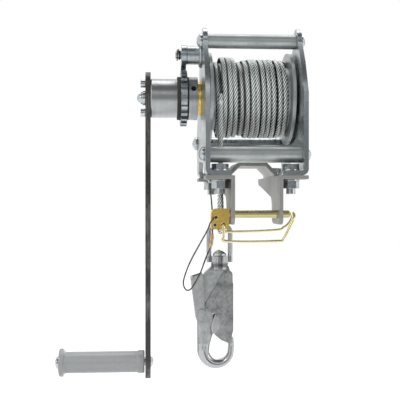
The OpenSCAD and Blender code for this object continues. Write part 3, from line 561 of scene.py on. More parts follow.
class Surface:
    """A mesh worked out as arrays of points."""

    # Name of the attribute that holds a rope's grooves and its painted side shade, and the power that narrows
    # the grooves.
    GROOVE_SHADE = "groove"
    NARROW = 1.1
    # Painted shade on the side of a turn away from its lit outside starts where the cosine of the angle from
    # that lit side falls below the first of these, and is full where it has fallen by the second. The third
    # is the darkest value that is written.
    SHADE_START = 0.62
    SHADE_SPAN = 0.75
    DARKEST = 1.6

    @staticmethod
    def grid(name: str, points: np.ndarray, wrap: bool, uv: np.ndarray | None = None) -> bpy.types.Object:
        """Makes a sheet or a closed tube from a grid of points.

        Args:
            name: The piece's name.
            points: Rows of points, of shape (rows, columns, 3).
            wrap: True to close the columns into a tube, whose ends are then capped.
            uv: The U and V of each point, of shape (rows, columns + wrap, 2).

        Returns:
            The new object, in the scene.
        """
        rows, columns = points.shape[:2]
        i, k = np.meshgrid(np.arange(rows - 1), np.arange(columns if wrap else columns - 1), indexing="ij")
        j = (k + 1) % columns
        quads = np.stack([i * columns + k, i * columns + j, (i + 1) * columns + j, (i + 1) * columns + k], -1)
        faces = [tuple(q) for q in quads.reshape(-1, 4).tolist()]
        if wrap:
            faces.append(tuple(reversed(range(columns))))
            faces.append(tuple(range((rows - 1) * columns, rows * columns)))
        mesh = bpy.data.meshes.new(name)
        mesh.from_pydata(points.reshape(-1, 3).tolist(), [], faces)
        if uv is not None:
            layer = mesh.uv_layers.new(name="UVMap")
            corner = np.stack([uv[i, k], uv[i, k + 1], uv[i + 1, k + 1], uv[i + 1, k]], 2).reshape(-1, 2)
            flat = np.zeros(len(mesh.loops) * 2)
            flat[: corner.size] = corner.ravel()
            layer.data.foreach_set("uv", flat)
        mesh.polygons.foreach_set("use_smooth", np.ones(len(mesh.polygons), bool))
        mesh.update()
        piece = bpy.data.objects.new(name, mesh)
        bpy.context.scene.collection.objects.link(piece)
        return piece

    @staticmethod
    def carried(path: np.ndarray, side: Triple) -> tuple[np.ndarray, np.ndarray]:
        """Two side vectors at each point of a path, carried along it without twisting.

        Args:
            path: Points of shape (n, 3).
            side: A direction across the path's start.

        Returns:
            The side vectors and their crosses with the heading.
        """
        heading = np.gradient(path, axis=0)
        heading /= np.linalg.norm(heading, axis=1)[:, None]
        sides = np.zeros_like(path)
        now = np.array(side, float)
        for row, ahead in enumerate(heading):
            now = now - ahead * now.dot(ahead)
            now = now / np.linalg.norm(now)
            sides[row] = now
        return sides, np.cross(heading, sides)

    @staticmethod
    def around(count: int) -> np.ndarray:
        """Angles at equal steps round a circle, without its end."""
        return np.arange(count) * TAU / count

    @staticmethod
    def tube(name: str, path: np.ndarray, sides: tuple[np.ndarray, np.ndarray], reach: np.ndarray,
             length: np.ndarray) -> bpy.types.Object:
        """A closed tube: each ring is its reach times (cos a, sin a) on the side vectors.

        Args:
            name: The piece's name.
            path: The tube's centre line, of shape (n, 3).
            sides: The side vector and the one across it, at each point.
            reach: The radius at each point and angle, of shape (n or 1, points round the tube).
            length: Length along the tube at each point, which becomes V.

        Returns:
            The tube, with its UV map.
        """
        count = reach.shape[1]
        angle = Surface.around(count)[None, :, None]
        ring = sides[0][:, None] * np.cos(angle) + sides[1][:, None] * np.sin(angle)
        uv = np.stack(np.broadcast_arrays(np.arange(count + 1)[None] / count, length[:, None]), -1)
        return Surface.grid(name, path[:, None] + reach[..., None] * ring, True, uv)

    @staticmethod
    def round_tube(name: str, path: np.ndarray, radius: float, count: int, side: Triple) -> bpy.types.Object:
        """A plain round tube with so many points round it."""
        sides = Surface.carried(path, side)
        return Surface.tube(name, path, sides, np.full((1, count), radius), run_length(path))

    @staticmethod
    def stranded(name: str, path: np.ndarray, sides: tuple[np.ndarray, np.ndarray], radius: float,
                 twist: Twist, count: int, side_shade: float = 0.0, ahead: float = 0.0) -> bpy.types.Object:
        """A rope of twisted strands.

        At angle a and length v the radius is the full one less its share of a groove, where the groove is
        1 - |sin(strands / 2 * (a - 2 pi v / lay))| to a power, so that it is deep only between strands.

        Args:
            name: The piece's name.
            path: The rope's centre line, of shape (n, 3).
            sides: The side vector and the one across it, at each point.
            radius: The rope's outer radius.
            twist: How the strands are laid.
            count: Points round the rope.
            side_shade: How dark the painted shade gets on the side away from the first side vector, between
                turns.
            ahead: Length of rope before the path's start, so that the strands of two pieces meet.

        Returns:
            The rope, with its groove and its painted side shade also as an attribute for its material.
        """
        length = ahead + run_length(path)
        angle = Surface.around(count)
        turned = angle[None] - TAU * length[:, None] / twist.lay
        groove = (1 - np.abs(np.sin(twist.strands / 2 * turned))) ** Surface.NARROW
        piece = Surface.tube(name, path, sides, radius * (1 - twist.groove * groove), length)
        # Painted shade: the side away from the first side vector, towards the drum and between turns, is
        # darkened.
        shade_away = np.clip((Surface.SHADE_START - np.cos(angle)) / Surface.SHADE_SPAN, 0, 1)[None] * side_shade
        mark = piece.data.attributes.new(Surface.GROOVE_SHADE, "FLOAT", "POINT")
        dark = np.clip(groove + shade_away, 0, Surface.DARKEST)
        mark.data.foreach_set("value", dark.astype(np.float32).ravel())
        return piece


def smooth_route(points: list[Triple], steps: int) -> np.ndarray:
    """A smooth curve through given points.

    Between two points it is the cubic through both whose slope at each is half the way between that
    point's neighbours.

    Args:
        points: The route's points, in metres.
        steps: Steps between two points.

    Returns:
        Points of shape (n, 3).
    """
    p = np.array(points, float)
    q = np.vstack([p[:1], p, p[-1:]])
    t = (np.arange(steps) / steps)[None, :, None]
    a, b, c, d = (q[k: len(q) - 3 + k][:, None] for k in range(4))
    curve = 0.5 * (2 * b + (c - a) * t + (2 * a - 5 * b + 4 * c - d) * t**2 + (3 * b - a - 3 * c + d) * t**3)
    return np.vstack([curve.reshape(-1, 3), p[-1:]])


def dress(piece: bpy.types.Object, material: bpy.types.Material) -> None:
    """Gives a piece one material, and reports it.

    Args:
        piece: The piece.
        material: Its material.
    """
    piece.data.materials.clear()
    piece.data.materials.append(material)
    log.info("%s: %d faces, %s", piece.name, len(piece.data.polygons), material.name)


def settle(piece: bpy.types.Object, body: str, slot: str, material: bpy.types.Material,
           *nodes: str) -> bpy.types.Object:
    """Dresses a new piece, puts it on its body and hides the CAD nodes that it stands for.

    Args:
        piece: The piece.
        body: The body that it moves with.
        slot: The record's material slot that it would take its finish from; not used.
        material: Its material.
        *nodes: The CAD nodes that it replaces.

    Returns:
        The piece.
    """
    dress(piece, material)
    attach(piece, body)
    if nodes:
        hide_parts(*nodes)
    return piece


# Points of a CAD mesh nearer than MERGE, in metres, are one point, and faces within the angle FLAT are
# one flat. Edges that turn by more than TURN are rounded.
MERGE = 2e-6
FLAT = math.radians(0.6)
TURN = math.radians(28.0)


def softened(node: str, width: float, segments: int = 2, floor: float | None = None) -> bpy.types.Object:
    """A copy of a CAD node with its flat faces joined and its sharp edges rounded.

    Args:
        node: The CAD node.
        width: Width of the rounding, in metres.
        segments: Steps of the rounding.
        floor: Height below which the copy is cut away, where another piece takes over.

    Returns:
        The new piece, with smooth shading.
    """
    mesh = frame["nodes"][node].data.copy()
    mesh.name = f"{node}_piece"
    work = bmesh.new()
    work.from_mesh(mesh)
    bmesh.ops.remove_doubles(work, verts=work.verts, dist=MERGE)
    bmesh.ops.dissolve_limit(work, angle_limit=FLAT, verts=work.verts, edges=work.edges)
    if floor is not None:
        parts = work.verts[:] + work.edges[:] + work.faces[:]
        place, up = (0, 0, floor), (0, 0, 1)
        cut = bmesh.ops.bisect_plane(work, geom=parts, plane_co=place, plane_no=up, clear_inner=True)
        rim = [part for part in cut["geom_cut"] if isinstance(part, bmesh.types.BMEdge)]
        bmesh.ops.holes_fill(work, edges=rim)
    work.to_mesh(mesh)
    work.free()
    piece = bpy.data.objects.new(f"{node}_piece", mesh)
    bpy.context.scene.collection.objects.link(piece)
    bevel = piece.modifiers.new("edges", "BEVEL")
    bevel.width = width
    bevel.segments = segments
    bevel.limit_method = "ANGLE"
    bevel.angle_limit = TURN
    bevel.use_clamp_overlap = True
    bevel.harden_normals = False
    mesh.polygons.foreach_set("use_smooth", np.ones(len(mesh.polygons), bool))
    mesh.set_sharp_from_angle(angle=TURN)
    weight = piece.modifiers.new("shading", "WEIGHTED_NORMAL")
    weight.keep_sharp = False
    return piece


@dataclass
class Studio:
    """Camera, lamps, floor and background, in metres and degrees."""

    view_x: float = -0.1145
    distance: float = 0.870
    height: float = -0.037
    yaw: float = 3.914
    focal_pixels: float = 761.0
    frame_pixels: float = 400.0
    sensor: float = 36.0
    nearest: float = 0.01
    sky: Triple = (0.9, 0.94, 1.0)
    sky_strength: float = 0.4
    floor_reach: float = 6.0
    floor_drop: float = 0.62
    floor_grey: Triple = (0.8, 0.8, 0.8)
    floor_rough: float = 0.9
    floor_glow: float = 0.8
    # Name, place, side and watts of each lamp.
    lamps: tuple[tuple[str, Triple, float, float], ...] = (
        ("key", (-1.4, -1.6, 1.5), 0.9, 11),
        ("fill", (1.8, -1.2, 0.4), 0.8, 4),
        ("top", (0.1, 0.4, 1.9), 1.0, 7),
        ("rim", (0.6, 1.7, 0.6), 0.8, 4),
    )
    # Name, place, width and height, and grey of each card.
    cards: tuple[tuple[str, Triple, Pair, float], ...] = (
        ("card_front", (0.3, -2.7, -0.1), (3.4, 2.2), 0.75),
        ("card_upright", (0.75, -2.3, 0.0), (0.35, 2.4), 0.06),
        ("card_level", (-0.2, -2.2, -0.75), (2.4, 0.35), 0.06),
        ("card_roof", (0.0, -1.3, 2.2), (5.0, 2.2), 0.3),
    )

    def camera(self) -> None:
        """Places the camera where the photograph was taken from, held level."""
        data = bpy.data.cameras.new("camera")
        data.sensor_width = self.sensor
        data.lens = self.sensor * self.focal_pixels / self.frame_pixels
        data.clip_start = self.nearest
        camera = bpy.data.objects.new("camera", data)
        camera.location = (self.view_x, -self.distance, self.height)
        camera.rotation_euler = (math.radians(90), 0, math.radians(-self.yaw))
        bpy.context.scene.collection.objects.link(camera)
        bpy.context.scene.camera = camera

    def lamp(self, name: str, place: Triple, size: float, watts: float) -> None:
        """Adds a soft square lamp that looks at the frame's origin.

        Args:
            name: The lamp's name.
            place: Where it hangs.
            size: Its side.
            watts: Its power.
        """
        data = bpy.data.lights.new(name, "AREA")
        data.shape = "SQUARE"
        data.size = size
        data.energy = watts
        lamp = bpy.data.objects.new(name, data)
        lamp.location = place
        lamp.rotation_euler = (-Vector(place)).to_track_quat("-Z", "Y").to_euler()
        bpy.context.scene.collection.objects.link(lamp)

    def world(self) -> None:
        """A plain pale world that is white where it is seen."""
        sky = Shader(bpy.data.worlds.new("studio"))
        sky.feed(Color=self.sky, Strength=self.sky_strength)
        sky.seen_as(sky.add("ShaderNodeBackground", {}, {"Color": (1, 1, 1)})[0])
        bpy.context.scene.world = sky.owner

    def floor(self) -> None:
        """A pale floor well below the hanging winch, with a glow where it is seen."""
        low = -self.floor_drop
        edges = (-self.floor_reach, self.floor_reach)
        floor = Surface.grid("floor", np.array([[(x, y, low) for x in edges] for y in edges]), False)
        shader = Shader.material("floor")
        shader.feed(Base_Color=self.floor_grey, Roughness=self.floor_rough)
        glow = shader.add("ShaderNodeEmission", {}, {"Strength": self.floor_glow})[0]
        shader.seen_as(shader.add("ShaderNodeAddShader", {}, {0: shader.own(), 1: glow})[0])
        dress(floor, shader.owner)

    def card(self, name: str, place: Triple, size: Pair, grey: float) -> None:
        """A plain card, facing the winch, that only reflections show.

        Args:
            name: The card's name.
            place: Its middle.
            size: Its width and height.
            grey: Its colour, from 0 for black to 1 for white.
        """
        aim = (-Vector(place)).to_track_quat("Z", "Y")
        across, up = aim @ Vector((size[0] / 2, 0, 0)), aim @ Vector((0, size[1] / 2, 0))
        middle = Vector(place)
        corners = [[middle + across * right + up * high for right in (-1, 1)] for high in (-1, 1)]
        card = Surface.grid(name, np.array(corners), False)
        card.visible_camera = False
        card.visible_diffuse = False
        card.visible_shadow = False
        shader = Shader.material(name)
        shader.feed(Base_Color=(grey, grey, grey), Roughness=1.0)
        dress(card, shader.owner)

    def build(self) -> None:
        """Sets up the studio."""
        self.camera()
        self.world()
        self.floor()
        for lamp in self.lamps:
            self.lamp(*lamp)
        for card in self.cards:
            self.card(*card)


@dataclass
class HangingRope:
    """The rope's end below the drum: a straight stretch, and the eye from the ferrule round the thimble.

    The eye's sizes count from the thimble's middle. Its legs run straight out of the ferrule for
    leg_start, part by the thimble and meet its bend at bend_start.
    """

    twist: Twist = Twist()
    count: int = 60
    points: int = 125
    side: Triple = (1, 0, 0)
    ferrule_low: float = SHAFT - 0.104
    thimble_z: float = SHAFT - 0.1416
    thimble_out: float = 0.0065
    apart: float = 0.0001
    leg_start: float = 0.002
    bend_start: float = 0.0166
    leg_steps: int = 20
    bend_steps: int = 40
    finer: int = 2

    def build(self, looks: Finishes) -> None:
        """Builds the cord and the eye, on the middle line of the CAD rope.

        Args:
            looks: The winch's materials.
        """
        low, high = (np.array(corner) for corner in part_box("hanging_rope"))
        radius = float(high[0] - low[0]) / 2
        x, y = (low[:2] + high[:2]) / 2
        z = np.linspace(SHAFT, low[2], self.points)
        path = np.stack([np.full_like(z, x), np.full_like(z, y), z], 1)
        rope = self.strand("rope_end", path, radius)
        settle(rope, "frame", "wire_rope", looks.rope, "hanging_rope")
        eye = self.strand("rope_eye", self.eye_route(radius, np.array([x, y, self.thimble_z])), radius)
        settle(eye, "frame", "wire_rope", looks.rope, "eye_rope")

    def strand(self, name: str, path: np.ndarray, radius: float) -> bpy.types.Object:
        """A stretch of the rope along a path."""
        return Surface.stranded(name, path, Surface.carried(path, self.side), radius, self.twist, self.count)

    def eye_route(self, radius: float, middle: np.ndarray) -> np.ndarray:
        """The eye's middle line: down one leg, half a circle under the thimble, and up the other leg.

        Args:
            radius: The rope's radius.
            middle: The thimble's middle.

        Returns:
            Points of shape (n, 3).
        """
        reach = self.thimble_out + radius
        a = np.pi + np.pi * np.arange(self.bend_steps + 1) / self.bend_steps
        bend = np.stack([0 * a, reach * np.cos(a), reach * np.sin(a)], 1)
        neck, top = radius + self.apart, self.ferrule_low - self.thimble_z
        leg = [(0, -neck, top), (0, -neck, top - self.leg_start), (0, -reach, self.bend_start)]
        left = smooth_route(leg, self.leg_steps)
        right = left[::-1] * np.array([1, -1, 1])
        path = np.vstack([left[:-1], bend, right[1:]]) + middle
        return smooth_route([tuple(p) for p in path], self.finer)


@dataclass
class CrimpSleeve:
    """The crimped sleeve on the lanyard, its route in millimetres and the rest in metres."""

    route: tuple[Triple, ...] = (
        (-47.9, -54.2, -168), (-46.5, -52.8, -162.5), (-45.6, -52.2, -157), (-45.2, -52, -152),
    )
    steps: int = 10
    count: int = 20
    side: Triple = (0, 1, 0)
    end_radius: float = 0.00115
    swell: float = 0.0006
    ends: Pair = (0.04, 0.96)
    crimps: Pair = (0.32, 0.68)
    crimp_width: float = 0.07
    crimp_depth: float = 0.22
    wider: float = 1.1

    def build(self, looks: Finishes) -> bpy.types.Object:
        """Builds the sleeve.

        At t along the sleeve the radius is the end's plus a swell by the root of sin(pi t). Each crimp
        takes a bell-shaped part off one half width and adds it to the other.

        Args:
            looks: The winch's materials.

        Returns:
            The sleeve.
        """
        path = smooth_route(in_metres(self.route), self.steps)
        first, second = Surface.carried(path, self.side)
        t = np.linspace(0, 1, len(path))[:, None]
        a = Surface.around(self.count)[None]
        radius = self.end_radius + self.swell * np.sin(np.pi * np.clip(t, *self.ends)) ** 0.5
        pinch = np.ones_like(t)
        for crimp in self.crimps:
            pinch = pinch - self.crimp_depth * np.exp(-((t - crimp) / self.crimp_width) ** 2)
        across, along = np.cos(a) * radius * pinch, np.sin(a) * radius * (2 - pinch) * self.wider
        ring = first[:, None] * across[..., None] + second[:, None] * along[..., None]
        piece = Surface.grid("lanyard_sleeve", path[:, None] + ring, True)
        return settle(piece, "frame", "yellow_zinc", looks.sleeve)


@dataclass
class Lanyard:
    """The thin steel lanyard between the pin's head and the eyelet under the left front foot.

    Its route is in millimetres, as in the CAD.
    """

    radius: float = 0.0008
    twist: Twist = Twist(strands=4, lay=0.006, groove=0.2)
    count: int = 12
    steps: int = 8
    side: Triple = (0, 0, 1)
    route: tuple[Triple, ...] = (
        (-44, -72.2, -134), (-46, -75.6, -135.5), (-49.5, -77.2, -140), (-52.5, -77.6, -147.5),
        (-60, -77.6, -161), (-70.5, -77.6, -180.5), (-76.5, -77.6, -196), (-77.5, -77.3, -204.5),
        (-74.3, -76.6, -210), (-69.6, -75.6, -208.8), (-64.2, -73.4, -201), (-59, -70, -191.8),
        (-55, -64.5, -182.5), (-51, -58, -174), (-47.5, -53.6, -167), (-45.6, -52.2, -158), (-45, -52, -147),
        (-45.2, -52.4, -134), (-46, -53.4, -120), (-47.4, -55, -108), (-48.3, -56.2, -101),
        (-48.5, -56.5, -97.7),
    )

    def build(self, looks: Finishes) -> None:
        """Builds the cord along its route, and its sleeve.

        Args:
            looks: The winch's materials.
        """
        path = smooth_route(in_metres(self.route), self.steps)
        sides = Surface.carried(path, self.side)
        piece = Surface.stranded("lanyard_wire", path, sides, self.radius, self.twist, self.count)
        dress(piece, looks.cord)
        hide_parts("lanyard")
        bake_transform(piece)
        sleeve = CrimpSleeve().build(looks)


@dataclass(frozen=True)
class Layer:
    """One layer of turns: how many, where the first and last lie along the shaft, and their radius.

    The last turn ends at end_angle, and uneven is how much of the winding's unevenness it shows.
    """

    turns: float
    start: float
    end: float
    radius: float
    end_angle: float
    uneven: float


@dataclass
class Winding:
    """The rope on the drum: an outer layer wound by hand, and the layer below it.

    The rows lift, raised and drift give each outer turn's unevenness in tenths of a millimetre, from
    the left flange to the right one.
    """

    rope_r: float = 0.00285
    twist: Twist = Twist()
    rings: int = 335
    outer: Layer = Layer((0.04035 + 0.0355) / 0.00595, 0.04035, -0.0355, 0.0426, np.pi, 1.0)
    outer_count: int = 48
    # Strength of the painted shade on the outer turns' side towards the drum.
    outer_side_shade: float = 1.15
    under: Layer = Layer(12.8, 0.0404, -0.0402, 0.0374, 0.4, 0.0)
    under_count: int = 28
    # Strength of the painted shade on the under turns' side towards the drum.
    under_side_shade: float = 0.9
    under_coarser: int = 2
    # The under layer swells by rise of its radius over rise_length, left of rise_from.
    rise_from: float = -0.0350
    rise_length: float = 0.004
    rise: float = 0.052
    unit: float = 0.0001
    lift: tuple[float, ...] = (0, 3, 3, 1, -38, -4, 2, 0, 2, -2, 1, 0, -8, -14)
    raised: tuple[float, ...] = (26, 25, 26, 19, 0, 0, 2, 3, 3, 3, 3, 2, 0, 0)
    drift: tuple[float, ...] = (0, -9, -6, -14, 6, 4, 9, -3, 5, 4, -6, 8, 5, 0)

    def helix(self, layer: Layer) -> np.ndarray:
        """Centre line of a layer.

        At angle a the centre is (x, r cos a, r sin a), and x runs evenly from start to end. Each turn's
        own lift and drift are added, blended from turn to turn, and a lift is a tenth of a millimetre at
        most. A raised turn stands up only at its top, by its own height times (1 + sin a) / 2.

        Args:
            layer: The layer's turns.

        Returns:
            Points of shape (n, 3).
        """
        t = np.linspace(0, 1, int(layer.turns * self.rings))
        a = layer.end_angle + TAU * layer.turns * (1 - t)
        turn = np.arange(len(self.lift)) / (len(self.lift) - 1)
        drift, lift, raised = (
            np.interp(1 - t, turn, np.array(row) * layer.uneven * self.unit)
            for row in (self.drift, self.lift, self.raised)
        )
        x = layer.start + (layer.end - layer.start) * t + drift
        r = layer.radius + np.minimum(lift, self.unit) + raised * (1 + np.sin(a)) / 2
        return np.stack([x, r * np.cos(a), r * np.sin(a) + SHAFT], 1)

    def lay_rope(self, name: str, path: np.ndarray, count: int, side_shade: float, low: int = 0,
                 high: int | None = None) -> bpy.types.Object:
        """Carries the strands along a winding's line, with the lit side away from the shaft and painted shade
        on the side towards it.

        Args:
            name: The piece's name.
            path: The whole winding's line, of shape (n, 3).
            count: Points round the rope.
            side_shade: How dark the painted shade gets on the side towards the shaft.
            low: First row of the line that the piece takes.
            high: The row after its last one, or None for all.

        Returns:
            The piece.
        """
        out = path - np.array([0, 0, SHAFT])
        out[:, 0] = 0
        out /= np.linalg.norm(out, axis=1)[:, None]
        heading = np.gradient(path, axis=0)
        heading /= np.linalg.norm(heading, axis=1)[:, None]
        part = slice(low, high)
        sides = out[part], np.cross(heading, out)[part]
        ahead = float(run_length(path)[low])
        return Surface.stranded(name, path[part], sides, self.rope_r, self.twist, count, side_shade, ahead)

    def build(self, looks: Finishes) -> None:
        """Builds the outer layer, in three pieces that meet strand on strand, and the layer below.

        Args:
            looks: The winch's materials.
        """
        path = self.helix(self.outer)
        third = len(path) // 3
        cuts = {"right": (0, third), "middle": (third, 2 * third), "left": (2 * third, len(path))}
        for side, (low, high) in cuts.items():
            name = f"outer_turns_{side}"
            turns = self.lay_rope(name, path, self.outer_count, self.outer_side_shade, low, high + 1)
            settle(turns, "drive", "wire_rope", looks.rope, "rope_winding")
        under = self.helix(self.under)
        edge = np.clip((self.rise_from - under[:, 0]) / self.rise_length, 0, 1)[:, None]
        rise = 1 + eased(edge) * self.rise
        middle = np.array([0, 0, SHAFT])
        under = (under - middle) * np.hstack([np.ones_like(rise), rise, rise]) + middle
        coarse = under[::self.under_coarser]
        below = self.lay_rope("under_turns", coarse, self.under_count, self.under_side_shade)
        settle(below, "drive", "wire_rope", looks.rope, "rope_core")


@dataclass
class Bail:
    """The wire bail of the lock pin. Places along its route are in millimetres.

    It leaves the block at the pivot, runs near the viewer to the low end and the tip, and comes back
    on the far side.
    """

    radius: float = 0.0015
    steps: int = 8
    count: int = 16
    side: Triple = (0, 0, 1)
    near: float = -73.3
    far: float = -58.7
    pin: float = -66.0
    pivot: Pair = (-35.0, -142.4)
    low: float = 29.5
    tip: float = 40.5

    def build(self, looks: Finishes) -> None:
        """Builds the bail as one round wire along its route.

        Args:
            looks: The winch's materials.
        """
        near, far, pin, low, tip = self.near, self.far, self.pin, self.low, self.tip
        px, pz = self.pivot
        route = [
            (px, pin, pz), (px, near + 3, pz), (px, near, pz - 1.5), (px, near, -154), (px + 4, near, -159.5),
            (low - 8, near, -159.5), (low - 1, near, -157), (low + 6, near, -144), (tip, near + 2, -134),
            (tip, pin, -130), (tip, far - 2, -134), (low + 8, far, -140.5), (low + 2, far, -145.5),
            (low - 8, far, -148.6), (px + 5, far, -150), (px, far, pz - 4), (px, far - 2, pz), (px, pin, pz),
        ]
        path = smooth_route(in_metres(route), self.steps)
        wire = Surface.round_tube("bail_wire", path, self.radius, self.count, self.side)
        settle(wire, "bail_body", "yellow_zinc", looks.wire, "bail")


@dataclass
class BlockHoles:
    """Holes with raised rims on the front of the pin's block, where the lanyard and the bail enter, their
    shade painted on a dark floor just behind the face.

    All sizes are in millimetres. A place is a hole's X, its height from the shaft and its radius. The shaded
    floor's line gives the part of that radius and the depth behind the block's face at each step, and the
    rim's line the distance past that radius and the depth. Each piece closes near the axis, at the radius
    close, and at its own depth behind.
    """

    face: float = -71.5
    count: int = 24
    close: float = 0.05
    places: tuple[Triple, ...] = ((-42.8, -134.4, 1.7), (-44.0, -142.3, 1.7), (-35.0, -142.4, 2.3))
    # The dark floor that paints the hole's shade: its line and the depth at which it closes.
    shade_floor_line: tuple[Pair, ...] = ((0.8, -0.04), (1.0, -0.06), (1.0, 0.25))
    shade_floor_back: float = 0.25
    rim_line: tuple[Pair, ...] = ((0.0, 0.1), (0.0, -0.1), (0.2, -0.3), (0.45, -0.22), (0.6, 0.2))
    rim_back: float = 0.3

    def turned(self, name: str, place: Triple, line: list[Pair], back: float) -> bpy.types.Object:
        """A piece of revolution about the hole's axis.

        Args:
            name: The piece's name.
            place: The hole's X, its height from the shaft and its radius.
            line: Radius and depth behind the block's face at each step.
            back: Depth at which the piece closes behind.

        Returns:
            The piece.
        """
        a = Surface.around(self.count)
        radius, deep = np.array([(self.close, line[0][1]), *line, (self.close, back)]).T
        x = place[0] + radius[:, None] * np.cos(a)
        z = place[1] + radius[:, None] * np.sin(a)
        points = np.stack([x * MM, (self.face + deep[:, None] + 0 * x) * MM, SHAFT + z * MM], -1)
        return Surface.grid(name, points, True)

    def build(self, looks: Finishes) -> None:
        """Builds a dark floor, which is painted shade inside the hole, and a bright rim for each hole.

        Args:
            looks: The winch's materials.
        """
        for number, place in enumerate(self.places, 1):
            radius = place[2]
            # A dark floor about a quarter millimetre behind the face: painted shade standing for the hole's
            # depth.
            inside = [(radius * part, deep) for part, deep in self.shade_floor_line]
            floor = self.turned(f"block_hole_shade_{number}", place, inside, self.shade_floor_back)
            settle(floor, "pin", "dark_steel", looks.dark)
            outside = [(radius + past, deep) for past, deep in self.rim_line]
            rim = self.turned(f"block_rim_{number}", place, outside, self.rim_back)
            settle(rim, "pin", "yellow_zinc", looks.wire)


@dataclass(frozen=True)
class BowlEdge:
    """One edge of the hook's bowl: down the spine, round an arc and up to the nose.

    Points are X and Z in millimetres, X from the hook's axis and Z from the shaft. The arc's first and
    last angles are in degrees.
    """

    spine: tuple[Pair, ...]
    middle: Pair
    radius: float
    first: float
    last: float
    nose: tuple[Pair, ...]
    arc_points: int = 40

    def points(self, steps: int) -> np.ndarray:
        """Points at equal steps along the edge.

        Args:
            steps: Number of points.

        Returns:
            Points of shape (steps, 2).
        """
        a = np.radians(np.linspace(self.first, self.last, self.arc_points))
        x, z = self.middle
        arc = np.stack([x + self.radius * np.cos(a), z + self.radius * np.sin(a)], 1)
        line = np.vstack([self.spine, arc, self.nose])
        length = run_length(line)
        at = np.linspace(0, length[-1], steps)
        return np.stack([np.interp(at, length, line[:, k]) for k in (0, 1)], 1)


@dataclass
class HookBowl:
    """The hook's round bowl, from the spine to the nose.

    Parts of the way count from 0 at the spine to 1 at the nose, and parts of the section from -1 at the
    bowl's inside to 1 at its outside. The edges are in millimetres and the other sizes in metres.
    """

    outer: BowlEdge = BowlEdge(((-24.5, -247), (-24.5, -262)), (-4.2, -279.2), 20.3, 180, 345,
                               ((16.1, -276), (15.4, -268), (14.6, -264.2)))
    inner: BowlEdge = BowlEdge(((-7.4, -247), (-7.4, -262), (-10.4, -272)), (-1.4, -279.3), 10.0, 185, 360,
                               ((8.9, -276), (9.4, -269), (10, -265)))
    steps: int = 220
    count: int = 56
    half: float = 0.00655
    # The section's power at the spine, what it gains and over which part of the way.
    square: float = 0.30
    rounding: float = 0.58
    rounded_by: float = 0.22
    # The nose closes from nose_from over nose_part, down to the root of blunt.
    nose_from: float = 0.975
    nose_part: float = 0.025
    blunt: float = 0.02
    # The crease: its place and width in the section, its depth, and how much faster and later than the
    # rounding it comes in.
    crease_at: float = -0.12
    crease_width: float = 0.07
    crease_depth: float = 0.0006
    crease_faster: float = 1.4
    crease_later: float = 0.2
    # The bowl gets thinner by slim of its half depth, from slim_from over slim_part.
    slim: float = 0.12
    slim_from: float = 0.6
    slim_part: float = 0.4

    def build(self, axis: Pair) -> bpy.types.Object:
        """Builds the bowl, as a section carried between its outer and inner edges.

        The section at angle a is (w |cos a|^p, h |sin a|^p) with the signs of the cosine and the sine. It
        is nearly square at the spine, where p is small, and round further on. A shallow crease runs
        along it, and it closes to a blunt nose.

        Args:
            axis: X and Y of the hook's axis.

        Returns:
            The bowl.
        """
        outer, inner = self.outer.points(self.steps), self.inner.points(self.steps)
        t = np.linspace(0, 1, self.steps)
        ease = np.clip(t / self.rounded_by, 0, 1)
        p = (self.square + self.rounding * eased(ease))[:, None]
        closing = ((t - self.nose_from) / self.nose_part).clip(0, 1)
        nose = np.sqrt(np.clip(1 - closing ** 2, self.blunt, 1))[:, None]
        middle, width = (outer + inner) / 2, np.linalg.norm(outer - inner, axis=1) / 2
        across = (outer - inner) / (2 * width[:, None])
        a = Surface.around(self.count)
        u = np.sign(np.cos(a)) * np.abs(np.cos(a))[None] ** p * nose
        v = np.sign(np.sin(a)) * np.abs(np.sin(a))[None] ** p * nose
        bell = np.exp(-((u - self.crease_at) / self.crease_width) ** 2)
        comes = np.clip(ease * self.crease_faster - self.crease_later, 0, 1)[:, None]
        crease = bell * comes * self.crease_depth
        thin = np.clip((t - self.slim_from) / self.slim_part, 0, 1)
        depth = self.half * (1 - self.slim * thin)[:, None]
        flat = middle[:, None] + across[:, None] * (u * width[:, None])[..., None]
        y = axis[1] + v * depth - np.sign(v) * crease
        points = np.stack([axis[0] + flat[..., 0] * MM, y, SHAFT + flat[..., 1] * MM], -1)
        return Surface.grid("hook_bowl", points, True)


@dataclass
class CheekFill:
    """The plates in the notches of the gate's cheeks, in millimetres.

    The edge is the notch's left line down the spine, as X from the hook's axis and Z from the shaft.
    The faces lie at outer and inner from the middle of the gate's width.
    """

    edge: tuple[Pair, ...] = (
        (-5.4, -239.6), (-6.6, -242.0), (-8.2, -246.0), (-9.7, -251.0), (-9.9, -254.5), (-9.4, -258.0),
        (-8.6, -260.6),
    )
    right: float = 0.4
    outer: float = 8.3
    inner: float = 6.9
    rows: int = 36
    columns: int = 16
    swell: float = 0.25
    round_by: float = 0.8
    round_part: float = 0.2

    def build(self, name: str, axis: Pair, side: int) -> bpy.types.Object:
        """Builds one plate.

        Its outer face lies 0.1 mm behind the cheek's, swells in the middle as the product of two sines,
        and is rounded at the spine by the square of the way to that edge.

        Args:
            name: The piece's name.
            axis: X and Y of the hook's axis.
            side: -1 for the front cheek and 1 for the back one.

        Returns:
            The plate.
        """
        line = np.array(self.edge)
        z = np.linspace(line[0, 1], line[-1, 1], self.rows)
        left = np.interp(-z, -line[:, 1], line[:, 0])
        s = np.linspace(0, 1, self.columns)
        x = left[:, None] + (self.right - left[:, None]) * s
        down = np.linspace(0, 1, self.rows)
        swell = self.swell * np.sin(np.pi * down)[:, None] * np.sin(np.pi * s)
        outer = self.outer + swell - self.round_by * np.clip(1 - s / self.round_part, 0, 1) ** 2
        inner = self.inner + 0 * x
        height = SHAFT + z[:, None] * MM + 0 * x
        faces = [
            np.stack([axis[0] + x * MM, axis[1] + side * depth * MM, height], -1) for depth in (outer, inner)
        ]
        near, far = faces if side < 0 else faces[::-1]
        return Surface.grid(name, np.concatenate([near, far[:, ::-1]], 1), True)


